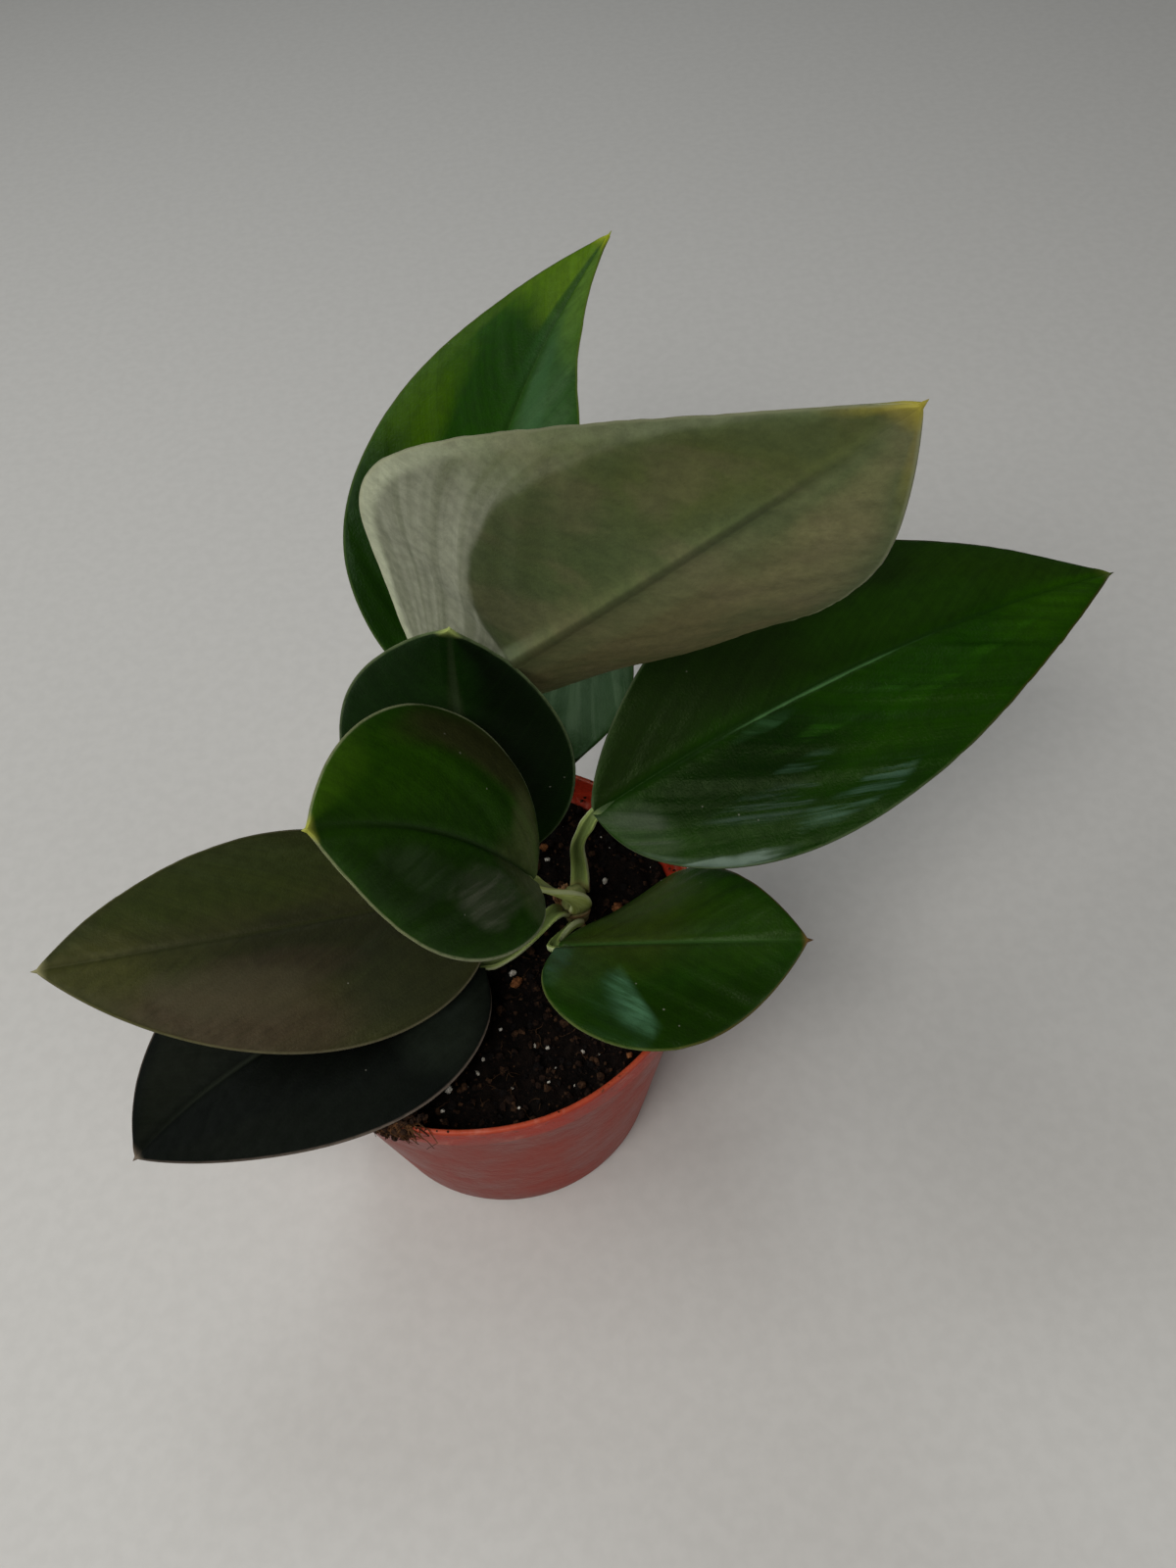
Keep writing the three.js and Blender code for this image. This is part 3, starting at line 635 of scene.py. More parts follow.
# What the picture doesn't show of a blade: a dark green upper side, or an olive underside. Both are
# fresher at the tip.
HIDDEN_UPPER = {
    "ground": 0x163304,
    "zones": [
        (0.3, 0.4, 0.5, 0.6, 0x10280A, 0.7), (0.7, -0.5, 0.4, 0.5, 0x1E4A08, 0.6),
        (0.95, 0.0, 0.15, 1.2, 0x35580E, 0.6),
    ],
    "beyond": None,
}
HIDDEN_LOWER = {
    "ground": 0x4A5634,
    "zones": [
        (0.4, 0.5, 0.5, 0.5, 0x5A5538, 0.6), (0.5, -0.6, 0.5, 0.4, 0x5B6A40, 0.6),
        (0.95, 0.0, 0.15, 1.2, 0x6A7A30, 0.6),
    ],
    "streaky": 0.1,
}


def blade_upper(name, leaf):
    """Upper side of a blade: smooth, softly lit, with sunken veins and a fine pebbled skin."""
    over = {**leaf, **HIDDEN_UPPER} if leaf["slot"] == PALE_SLOT else leaf
    gloss = leaf["gloss"]
    look = Skin("upper_" + name, gloss, leaf["shine"], over)
    look.shader.inputs["Specular Tint"].default_value = (*leaf["tint"], 1)
    look.ground()
    look.coat(look.on_vein * leaf["vein"], 0x3F6A25)
    # Painted sheen: paler streaks that stand in for highlights.
    look.paint_sheens()
    look.coat(abs(look.out).ramp(0.8, 0.2) * look.share.ramp(1.0, 0.6, 0.25, 0.8), leaf["rib"])
    look.edged(0.45, 0.7)
    look.coat(look.specks(look.flat, 0.4, 0.95, 0.09) * 0.35, 0x9E9C90)
    look.set("Roughness", look.mottle.ramp(0.3, 0.7, gloss - 0.04, gloss + 0.08))
    look.grain(0.00010, 0.00003)
    return look.painted()


def blade_lower(name, leaf):
    """Underside of a blade: paler, duller, with the midrib and the veins standing out, and painted light and
    shade along the midrib.
    """
    under = leaf if leaf["slot"] == PALE_SLOT else {**leaf, **HIDDEN_LOWER}
    look = Skin("lower_" + name, 0.6, 0.18, under)
    look.ground()
    look.coat(look.on_vein * 0.06, 0x39432C)
    # The midrib is paler, and the pale band sits to one side of it: its own colour, and painted light on the
    # side of the ridge that faces the lights.
    rib = (abs(look.out + 1.6) / look.share.ramp(0.5, 0.0, 1.1, 2.6)).ramp(1.0, 0.3)
    look.coat(rib * look.share.ramp(0.42, 0.05, 0.0, 0.75), 0x8E9C7A)
    # Painted shade: a dark line along the midrib ridge, on its shaded side.
    line = abs(look.out + 0.1).ramp(0.85, 0.2, 0.0, 0.6)
    look.coat(line * look.share.ramp(0.97, 0.75), 0x2A2E1A)
    look.edged(0.6, 0.7)
    look.set("Roughness", look.mottle.ramp(0.3, 0.7, 0.52, 0.66))
    look.grain(0.00007, 0.00002)
    return look.painted()


def blade_rim(name, leaf):
    look = Skin("rim_" + name, 0.5, 0.25, leaf)
    # The edge colours again, partly a painted highlight where light glances along the margin.
    look.paint = look.border()
    look.coat(look.mottle.ramp(0.35, 0.7, 0.0, 0.6), 0x3E3A22)
    look.coat(look.share.ramp(0.975, 0.999), leaf["tip"])
    look.relief(look.mottle, 0.0001)
    return look.painted()


def stalk_look(name="stalk", dark=0x77893F, light=0x9DAE66):
    """Petioles: light olive green with long pale streaks, painted shade in the channel, paler at their
    edges, dark under the blade.
    """
    look = Look(name, 0.48, 0.4)
    run, across, face = look.parts(look.field("stalk"))
    lines = look.noise(look.vector(run * 0.08, across * 3.2, face), 2.0, 3, 0.6)
    look.paint = look.mix(lines.ramp(0.3, 0.7), dark, light)
    # Painted shade inside the channel.
    channel_shade = face.ramp(0.25, 0.8) * abs(across).ramp(0.75, 0.4)
    look.coat(channel_shade * 0.65, 0x465A2A)
    look.coat(abs(across).ramp(0.86, 1.0) * 0.75, 0xBFC79A)
    foot = run.ramp(3.2, 0.4)
    look.coat(foot * 0.6, 0x8C7A4A)
    merged = look.parts(look.field("merging"))[0].ramp(0.0, 0.3)
    look.coat(merged * face.ramp(-0.4, 0.2, 0.3, 0.92), 0x24400F)
    freckles = look.specks(look.vector(run, across * 2.0, face), 0.9, 0.8, 0.2)
    look.coat(freckles * 0.35, 0x8F9A6A)
    look.relief(lines, 0.0003)
    look.relief(look.noise(look.place(), 2600, 2, 0.6), 0.00012)
    return look.painted()


def stem_look():
    look = Look("stem", 0.6)
    where = look.place()
    height = look.parts(where)[2]
    blotch = look.noise(where, 420, 4, 0.65)
    look.paint = look.mix(blotch.ramp(0.35, 0.7), 0x5F6B34, 0x8A8C57)
    rings = abs(look.math("SINE", height * (math.pi / (NODE_SPACING * MM))))
    look.coat(rings.ramp(0.25, 0.05, 0.0, 0.8), 0x6B4A2C)
    look.coat(height.ramp(0.058, 0.052) * 0.7, 0x5A4029)
    look.relief(blotch, 0.0005)
    return look.painted()


def papery_look():
    """Dry sheath: thin brown paper with long fibres and darker blotches."""
    look = Look("papery", 0.8)
    where = look.place()
    fibres = look.noise(look.scaled(where, (900, 900, 90)), 1.0, 4, 0.65)
    look.paint = look.mix(fibres.ramp(0.3, 0.7), 0x5B3A22, 0xA47A4E)
    look.coat(look.noise(where, 300).ramp(0.55, 0.75, 0, 0.6), 0x3A2415)
    look.relief(fibres, 0.0005)
    return look.painted()


def soil_look():
    look = Look("peat", 0.92, 0.08)
    where = look.place()
    clods = look.noise(where, 260, 6, 0.7)
    fine = look.noise(where, 1400, 4, 0.7)
    look.paint = look.mix(clods.ramp(0.35, 0.7), 0x060403, 0x160F0B)
    look.coat(fine.ramp(0.55, 0.75, 0.0, 0.6), 0x37281D)
    look.relief(clods, 0.0016)
    look.relief(fine, 0.0006)
    return look.painted()


def crumb_look(name, dark, light):
    look = Look(name, 0.9, 0.12)
    fine = look.noise(look.place(), 1100, 4, 0.7)
    look.paint = look.mix(fine.ramp(0.35, 0.7), dark, light)
    look.relief(fine, 0.0006)
    return look.painted()


def pot_look():
    """Thin moulded plastic: terracotta colour, redder and cleaner at the rim, with a painted highlight along
    the lip, hazy and scuffed below.
    """
    look = Look("thin_plastic", 0.42, 0.2)
    look.set("Subsurface Weight", 0.08)
    look.set("Subsurface Radius", (0.002, 0.0008, 0.0005))
    where = look.place()
    x, y, height = look.parts(where)
    angle = look.math("ARCTAN2", y, x)
    mottle = look.noise(where, 90, 4, 0.6)
    tone = mottle.ramp(0.3, 0.7)
    band = height.ramp(0.049, 0.053)
    look.paint = look.mix(band, look.mix(tone, 0x782010, 0x8A2A18), look.mix(tone, 0x8E2412, 0xA62E19))
    # Painted highlight along the flat top of the lip.
    lip = height.ramp(0.0572, 0.058)
    look.coat(lip * 0.5, 0xB4583A)
    smear = look.noise(look.vector(angle * 9, height * 260), 1.0, 4, 0.65, 0.8)
    look.coat(smear.ramp(0.52, 0.72) * height.ramp(0.049, 0.0525, 0.0, 0.45), 0xC07A68)
    haze = look.noise(look.scaled(where, (60, 60, 25)), 1.0, 5, 0.65, 0.6)
    look.coat(haze.ramp(0.48, 0.8, 0.0, 0.24) * height.ramp(0.053, 0.049, 0.3, 1.0), 0x944E3E)
    scratch = look.noise(look.vector(angle * 14, height * 900), 1.0, 5, 0.75, 1.4)
    look.coat(scratch.ramp(0.66, 0.72) * 0.24, 0xCC9080)
    dirt = look.noise(where, 700, 5, 0.7)
    look.coat(dirt.ramp(0.56, 0.7) * height.ramp(0.045, 0.057, 0.12, 0.8), 0x3A2418)
    look.set("Roughness", mottle.ramp(0.3, 0.7, 0.34, 0.5))
    look.relief(look.noise(where, 1500, 3, 0.6), 0.00008)
    look.relief(mottle, 0.0012)
    return look.painted()


# Blade surface
def leaf_frames(leaf, share):
    share = np.asarray(share, float)
    heading = np.radians(leaf["heading"] + leaf["turn"] * share)
    rise = np.radians(blend(*leaf["rise"], share))
    flat = np.cos(rise)
    along = np.stack([np.cos(heading) * flat, np.sin(heading) * flat, np.sin(rise)], -1)
    level = np.stack([-np.sin(heading), np.cos(heading), 0 * heading], -1)
    above = np.cross(along, level)
    roll = np.radians(blend(*leaf["roll"], share))[..., None]
    left = level * np.cos(roll) + above * np.sin(roll)
    up = above * np.cos(roll) - level * np.sin(roll)
    return along, left, up


def midrib_of(leaf):
    along = leaf_frames(leaf, np.linspace(0, 1, MIDRIB_STEPS + 1))[0]
    hops = (along[1:] + along[:-1]) * leaf["length"] / MIDRIB_STEPS / 2
    base = np.array(leaf["base"], float)
    return np.vstack([base, base + np.cumsum(hops, 0)])


def midrib_point(midrib, share):
    steps = np.linspace(0, 1, len(midrib))
    return np.stack([np.interp(share, steps, midrib[:, i]) for i in range(3)], -1)


def outline(widest, share):
    rising = TIP_SHARPNESS * widest / (1 - widest)
    peak = widest**rising * (1 - widest) ** TIP_SHARPNESS
    return share**rising * (1 - share) ** TIP_SHARPNESS / peak


def blade_point(leaf, midrib, side, reach, out):
    """Point of the middle surface, for arrays of reach along the midrib and distance from it."""
    share = np.clip(reach / leaf["length"], 0, 1)
    along, left, up = leaf_frames(leaf, share)
    index = 0 if side > 0 else 1
    bend = math.radians(leaf["curl"][index]) / leaf["half"][index]
    fold = np.radians(blend(*leaf["fold"], share))
    across = (np.sin(fold + bend * out) - np.sin(fold)) / bend
    lift = (np.cos(fold) - np.cos(fold + bend * out)) / bend
    beyond = np.minimum(reach, 0) + np.maximum(reach - leaf["length"], 0)
    point = midrib_point(midrib, share) + along * beyond[..., None]
    return point + left * (side * across)[..., None] + up * lift[..., None]


def pleat_height(phase, share, seed):
    """Irregular soft pleats that follow the veins: a few waves across them, each fading in and out."""
    rng = np.random.default_rng(seed)
    height = np.zeros_like(phase)
    for waves in (0.45, 0.7, 1.1, 1.8):
        start, drift, fade = rng.uniform(0, FULL_TURN, 3)
        wave = np.sin(FULL_TURN * waves * phase + start + 1.5 * np.sin(3 * share + drift))
        height += wave * (0.65 + 0.35 * np.sin(7 * share + fade)) / waves**0.8
    return height / 2.2


class Surface:
    """A blade's surface, as arrays of rows along the midrib by columns across it. share is the share of
    the length, and side that of the half width, negative on the right. In millimetres, reach is the
    distance along the midrib, out that from the midrib, margin that from the margin and width the half
    width. veins counts the veins passed, along curves that leave the midrib and sweep to the tip."""

    def __init__(self, leaf):
        rows = np.arange(1, BLADE_ROWS) / BLADE_ROWS
        shares = rows**1.6 / (rows**1.6 + (1 - rows) ** 1.25)
        steps = np.concatenate([(np.arange(1, 25) / 25.0) ** 1.3, [0.972, 0.99, 1.0]])
        self.leaf = leaf
        self.share, self.side = np.meshgrid(shares, [*-steps[::-1], 0.0, *steps], indexing="ij")
        self.size = np.abs(self.side)
        half = self.sided(*leaf["half"])
        self.width = half * outline(self.sided(*leaf["widest"]), self.share)
        self.out = self.size * self.width
        self.margin = (1 - self.size) * self.width
        lobed = (leaf["length"] + BASE_LOBE) * self.share
        lobed = lobed - BASE_LOBE * (1 - np.exp(-self.share / LOBE_REACH))
        self.reach = blend(leaf["length"] * self.share, lobed, self.size)
        swept = self.reach - VEIN_SWEEP * self.out - VEIN_BEND * self.out**2 / half
        self.veins = swept / VEIN_SPACING + VEIN_OFFSET

    def sided(self, left, right):
        """One value on the left of the midrib and another on the right."""
        return np.where(self.side < 0, right, left)

    def past_line(self, line, place):
        """Distance past a line of (share, share of the half width) points on one side, at this place."""
        starts = np.interp(self.share, [p[0] for p in line], [p[1] for p in line])
        slant = np.gradient((starts * self.width)[:, 0]) / np.maximum(np.gradient(self.reach[:, 0]), 1e-3)
        return (place - starts) * self.width / np.sqrt(1 + slant[:, None] ** 2)

    def past_crease(self):
        """Distance past the first crease, and far short of it on a blade or a side without one."""
        if not self.leaf["creases"]:
            return np.full_like(self.share, FAR_SHORT)
        sign, line = self.leaf["creases"][0][:2]
        place = self.side * sign
        return np.where(place > 0, self.past_line(line, place), FAR_SHORT)

    def crease_height(self):
        """Height of the bends along the creases, with the midrib and the margin left in place."""
        height = np.zeros_like(self.share)
        for sign, line, slope, softness in self.leaf["creases"]:
            place = self.side * sign
            at_midrib, at_margin, here = (
                slope * softness * np.logaddexp(0, self.past_line(line, where) / softness)
                for where in (0 * place, 0 * place + 1, place)
            )
            height += (here - blend(at_midrib, at_margin, place)) * (place > 0)
        return height

    def relief(self):
        """Heights that both sides of the blade share, and then the upper side's own."""
        share, size, seed = self.share, self.size, self.leaf["seed"]
        ends = smooth(share, 0.0, 0.1) * (1 - smooth(share, 0.84, 1.0))
        pleats = self.sided(*(pleat_height(self.veins, share, seed + more) for more in (90, 95)))
        pleats = pleats * self.sided(*self.leaf["pleat"]) * smooth(size, 0.02, 0.35) * ends
        pleats = pleats * (1 - 0.6 * smooth(size, 0.8, 1))
        aside = np.sign(self.side)
        swell = SWELL_HEIGHT * ripples(self.reach, self.out * aside, seed, SWELL_LENGTH)
        swell = swell * smooth(size, 0.05, 0.6) * ends
        ruffle = RUFFLE_HEIGHT * ripples(self.reach, 30 * aside, seed + 30, RUFFLE_LENGTH)
        ruffle = ruffle * size**4 * ends
        groove = GROOVE_DEPTH * bump_of(self.out, 0, 0.5) * (1 - 0.5 * share)
        shoulder = SHOULDER_HEIGHT * bump_of(self.out, 1.5, 0.8)
        turned_down = MARGIN_DROP * smooth(size, 0.955, 1.0)
        return pleats + swell + ruffle + self.crease_height(), shoulder - groove - turned_down

    def points(self):
        """Points of the upper side, the underside, both rims and three at each end, in that order."""
        leaf, share, midrib = self.leaf, self.share, midrib_of(self.leaf)
        left, right = (blade_point(leaf, midrib, sign, self.reach, self.out) for sign in (1, -1))
        middle = np.where((self.side < 0)[..., None], right, left)
        normal = unit(np.cross(np.gradient(middle, axis=0), np.gradient(middle, axis=1)))
        both, above = self.relief()
        thick = blend(BLADE_THICKNESS, MARGIN_THICKNESS, smooth(self.size, 0.7, 1.0)) / 2
        rib = (1.15 * MIDRIB_DEPTH * (1 - share) + 0.12) * smooth(share, 0.0, 0.02)
        rib = rib * bump_of(self.out, 0, 0.9 + 1.1 * (1 - share) ** 3)
        ridges = bump_of(np.abs(np.sin(math.pi * self.veins)), 0, 0.22) * smooth(self.size, 0.02, 0.2)
        top = middle + normal * (thick + both + above)[..., None]
        bottom = middle + normal * (both - thick - rib - VEIN_HEIGHT * ridges)[..., None]
        rims = []
        for edge, inner in ((0, 1), (-1, -2)):
            outward = unit(middle[:, edge] - middle[:, inner])
            rims.append((top[:, edge] + bottom[:, edge]) / 2 + outward * MARGIN_THICKNESS * 0.5)
        along, _, up = leaf_frames(leaf, np.array([0.0, 1.0]))
        base, tip = midrib[0], midrib[-1]
        ends = [
            base + up[0] * 0.3, base - up[0] * 0.9, base - along[0] * 0.25 - up[0] * 0.3,
            tip + up[1] * 0.14, tip - up[1] * 0.2, tip + along[1],
        ]
        return np.vstack([top.reshape(-1, 3), bottom.reshape(-1, 3), *rims, ends])

    def fields(self):
        """What the class Skin reads at each of these points."""
        base_vein, tip_vein, none = 40, 60, 0 * self.share
        past = self.past_crease()
        length = self.leaf["length"]
        sheets = {
            "leaf": (self.reach, self.sided(self.out, -self.out), self.margin),
            "veins": (self.veins, self.side, self.share),
            "folds": (past, none, none),
        }
        ends = {
            "leaf": [[0, 0, 0]] * 3 + [[length, 0, 0]] * 3,
            "veins": [[base_vein, 0, 0]] * 3 + [[tip_vein, 0, 1]] * 3,
            "folds": [[FAR_SHORT, 0, 0]] * 6,
        }
        rims = {**sheets, "leaf": (self.reach, none, none)}
        made = {}
        for name in sheets:
            sheet, rim = np.stack(sheets[name], -1).reshape(-1, 3), np.stack(rims[name], -1)
            made[name] = np.vstack([sheet, sheet, rim[:, 0], rim[:, -1], ends[name]])
        return made


def blade_faces(rows, columns):
    """Faces and their slots. Each row of points is a ring through the upper side, the left rim, the
    underside and the right rim. At both ends of the blade the ring shrinks to three points."""
    top = np.arange(rows * columns).reshape(rows, columns)
    bottom = top + top.size
    right_rim, left_rim = 2 * top.size + np.arange(2 * rows).reshape(2, rows, 1)
    ends = 2 * (top.size + rows) + np.arange(6).reshape(2, 3)
    base, tip = ([upper] * columns + [rim] + [lower] * columns + [rim] for upper, lower, rim in ends)
    rings = np.vstack([base, np.hstack([top, left_rim, bottom[:, ::-1], right_rim]), tip])
    ahead = np.roll(rings, -1, axis=1)
    corners = np.stack([rings[:-1], rings[1:], ahead[1:], ahead[:-1]], -1).reshape(-1, 4)
    faces = [tuple(dict.fromkeys(face)) for face in corners.tolist()]
    one_ring = [UPPER_SLOT] * (columns - 1) + [RIM_SLOT] * 2
    one_ring += [LOWER_SLOT] * (columns - 1) + [RIM_SLOT] * 2
    return faces, one_ring * (rows + 1)


def blade(name, leaf):
    surface = Surface(leaf)
    faces, slots = blade_faces(*surface.share.shape)
    materials = [blade_upper(name, leaf), blade_lower(name, leaf), blade_rim(name, leaf)]
    made = mesh_object("blade_" + name, surface.points(), faces, materials, slots, surface.fields())
    return carried(made, leaf["slot"], "leaf_" + name)


# Stalks
def bezier(a, b, c, d, count):
    t = np.linspace(0, 1, count)[:, None]
    return (1 - t) ** 3 * a + 3 * (1 - t) ** 2 * t * b + 3 * (1 - t) * t**2 * c + t**3 * d


def stalk_path(leaf):
    """Centre line from the stem to the blade, then on under the midrib where both are one."""
    size = STEMS[leaf["stem"]]
    away = np.array([*polar(1.0, math.radians(leaf["bearing"])), 0.0])
    foot = np.array([size["x"], size["y"], leaf["start"]])
    foot = foot + away * (size["radius"] + PETIOLE_STANDOFF - 0.3)
    arrival = unit(np.array(leaf["arrive"], float))
    head = np.array(leaf["base"], float) - arrival * leaf["seat"]
    pull = np.linalg.norm(head - foot) * PETIOLE_PULL
    leave = unit(np.array([0, 0, 1.0]) + away * PETIOLE_LEAN)
    own = bezier(foot, foot + leave * pull, head - arrival * pull, head, STALK_RINGS)
    share = np.array([MIDRIB_RUN / leaf["length"]])
    along, _, up = leaf_frames(leaf, share)
    goal = midrib_point(midrib_of(leaf), share)[0] - up[0] * MIDRIB_RUN_DROP
    reach = np.linalg.norm(goal - head)
    run = bezier(head, head + arrival * reach * 0.33, goal - along[0] * reach * 0.4, goal, MIDRIB_RUN_RINGS)
    return np.vstack([own, run[1:]]), away, leaf_frames(leaf, np.array([0.0]))[2][0]


def stalk(name, leaf, material):
    path, away, blade_up = stalk_path(leaf)
    tangent = unit(np.gradient(path, axis=0))
    length = np.concatenate([[0], np.cumsum(np.linalg.norm(np.diff(path, axis=0), axis=1))])
    own_length = length[STALK_RINGS - 1]
    angle = np.linspace(0, FULL_TURN, PETIOLE_SIDES, endpoint=False)
    x, y = np.cos(angle), np.sin(angle)
    points, field, merging = [], [], []
    for centre, ahead, run in zip(path, tangent, length):
        share = min(run / own_length, 1)
        merged = smooth(run, own_length, length[-1])
        facing = blend(-away, blade_up, share**2)
        channel = unit(facing - ahead * (facing @ ahead))
        across = np.cross(channel, ahead)
        swelling = GENICULUM_SWELLING * bump_of(share, GENICULUM_PLACE, GENICULUM_SPREAD) * (1 - merged)
        width = PETIOLE_WIDTH + leaf["sheath"] * (1 - share) ** CLASP_TAPER + swelling
        width = blend(width, MIDRIB_RUN_WIDTH, merged) / 2
        depth = blend(PETIOLE_DEPTH + swelling * 0.6, MIDRIB_RUN_DEPTH, merged) / 2
        front = np.maximum(y, 0)
        dip = (0.95 - 0.25 * share) * (1 - merged) * bump_of(x, 0, 0.52) * (front > 0)
        wing = 0.3 * (1 - 0.6 * share) * (1 - merged) * bump_of(np.abs(x), 0.93, 0.12) * (y > -0.1)
        height = np.where(y > 0, y * depth * 0.85 - dip * depth * front + wing, y * depth)
        points.append(centre + np.outer(x * width, across) + np.outer(height, channel))
        field.append(np.stack([np.full(PETIOLE_SIDES, run), x, y], -1))
        merging.append(np.full((PETIOLE_SIDES, 3), merged))
    fields = {"stalk": np.vstack(field), "merging": np.vstack(merging)}
    faces = tube_faces(len(path), PETIOLE_SIDES)
    made = mesh_object("stalk_" + name, np.vstack(points), faces, [material], None, fields)
    return carried(made, "petiole", "petiole_" + name)


# Pot
def lathe(profile, sides, x=0.0, y=0.0, wobble=None):
    """Points and faces of a turned body, from (radius, height) pairs that start and end on the axis."""
    points = [[x, y, profile[0][1]]]
    for radius, height in profile[1:-1]:
        for k in range(sides):
            angle = FULL_TURN * k / sides
            r, z = wobble(radius, height, angle) if wobble else (radius, height)
            across, ahead = polar(r, angle)
            points.append([x + across, y + ahead, z])
    points.append([x, y, profile[-1][1]])
    return points, turned_faces(len(profile) - 2, sides)


def body_radius(height):
    return blend(FOOT_RADIUS, BODY_TOP_RADIUS, height / BAND_BOTTOM)


def pot_profile():
    """Half section of the pot, up the outside, over the lip and down the inside."""
    band_foot = BODY_TOP_RADIUS + RIM_BAND_STEP
    half_wall = WALL / 2
    outside = [
        (0, 0.0), (14, 0.0), (26, 0.0), (FOOT_RADIUS - FOOT_EDGE, 0.0),
        (body_radius(0.3) - 0.45, 0.12), (body_radius(0.6) - 0.15, 0.45), (body_radius(1.2), 1.2),
        *((body_radius(height), height) for height in (8, 16, 24, 32, 40, 47, 50.6)),
        (BODY_TOP_RADIUS + 0.04, BAND_BOTTOM - 0.35), (BODY_TOP_RADIUS + 0.3, BAND_BOTTOM - 0.05),
        (band_foot - 0.12, BAND_BOTTOM + 0.1), (band_foot, BAND_BOTTOM + 0.35),
        (blend(band_foot, RIM_RADIUS, 0.6), POT_HEIGHT - 2.2), (RIM_RADIUS - 0.02, POT_HEIGHT - 0.75),
    ]
    lip = []
    for k in range(LIP_STEPS + 1):
        across, rise = polar(half_wall, math.pi * k / LIP_STEPS)
        lip.append((RIM_RADIUS - half_wall + across, POT_HEIGHT - half_wall + rise))
    inside = [
        (MOUTH_RADIUS - 0.2, POT_HEIGHT - 3), (band_foot - WALL, BAND_BOTTOM + 0.2),
        (band_foot - WALL - 0.2, BAND_BOTTOM - 0.4), (BODY_TOP_RADIUS - WALL, BAND_BOTTOM - 1),
        *((body_radius(height) - WALL, height) for height in (40, 24, 8)),
        (body_radius(FLOOR + 0.6) - WALL, FLOOR + 0.5), (body_radius(FLOOR) - WALL - 0.6, FLOOR),
        (14, FLOOR), (0, FLOOR),
    ]
    return outside + lip + inside


def out_of_round(radius, height, angle):
    """The thin wall gives a little, most at the rim."""
    share = (height / POT_HEIGHT) ** 3 if radius > 25 else 0.0
    bulge = 0.16 * math.sin(2 * angle + 0.6) + 0.09 * math.sin(5 * angle + 2.0) + 0.05 * math.sin(9 * angle)
    dip = 0.07 * math.sin(3 * angle + 1.0) + 0.04 * math.sin(11 * angle) if height > BAND_BOTTOM else 0
    return radius + bulge * share, height + dip * share


def pot():
    points, faces = lathe(pot_profile(), POT_SIDES, wobble=out_of_round)
    made = mesh_object("nursery_pot", points, faces, [pot_look()])
    hole = [(0, -1.0), (DRAIN_HOLE_RADIUS, -1.0), (DRAIN_HOLE_RADIUS, FLOOR + 1), (0, FLOOR + 1)]
    cutters = []
    for i in range(DRAIN_HOLES):
        x, y = polar(DRAIN_CIRCLE_RADIUS, (i + 0.5) / DRAIN_HOLES * FULL_TURN)
        cutter = mesh_object(f"drain_cutter_{i}", *lathe(hole, DRAIN_HOLE_SIDES, x, y), [])
        cut = made.modifiers.new("hole", "BOOLEAN")
        cut.operation, cut.object, cut.solver = "DIFFERENCE", cutter, "EXACT"
        cutters.append(cutter)
    bpy.context.view_layer.update()
    depsgraph = bpy.context.evaluated_depsgraph_get()
    solid = bpy.data.meshes.new_from_object(made.evaluated_get(depsgraph))
    made.modifiers.clear()
    made.data = solid
    for cutter in cutters:
        bpy.data.objects.remove(cutter)
    solid.polygons.foreach_set("use_smooth", np.full(len(solid.polygons), True))
    solid.set_sharp_from_angle(angle=math.radians(SHARP_EDGE_ANGLE))
    return carried(made, "pot", "pot")


# Soil
def bed_height(x, y):
    """The soil's surface as in the solid model."""
    coarse = np.sin(0.31 * x + 1.2) * np.cos(0.27 * y - 0.4)
    fine = np.sin(0.83 * x - 0.71 * y) * np.cos(0.64 * x + 0.9 * y + 2)
    bank = (x * x + y * y) / (RIM_RADIUS * RIM_RADIUS)
    return SOIL_LEVEL + SOIL_RELIEF * (0.7 * coarse + 0.6 * fine) - SOIL_BANK * bank


def rough_bed(x, y):
    """The same surface with its crumbly relief."""
    height = bed_height(x, y)
    for size, seed, wavelength, count in BED_RIPPLES:
        height = height + size * ripples(x, y, seed, wavelength, count)
    return float(height)


def soil():
    bottom = FLOOR + CLEARANCE
    inner = WALL + 0.06
    wall = body_radius(SOIL_LEVEL - 1.5) - inner
    points = [[0, 0, bottom]]
    for height in (bottom, SOIL_LEVEL * 0.5):
        for k in range(SOIL_SIDES):
            points.append([*polar(body_radius(height) - inner - 0.25, FULL_TURN * k / SOIL_SIDES), height])
    for i in range(SOIL_RINGS, 0, -1):
        for k in range(SOIL_SIDES):
            x, y = polar(wall * i / SOIL_RINGS, FULL_TURN * (k + 0.5 * (i % 2)) / SOIL_SIDES)
            points.append([x, y, rough_bed(x, y)])
    points.append([0, 0, rough_bed(0.0, 0.0)])
    made = mesh_object("peat_bed", points, turned_faces(SOIL_RINGS + 2, SOIL_SIDES), [soil_look()])
    return carried(made, "soil", "soil")


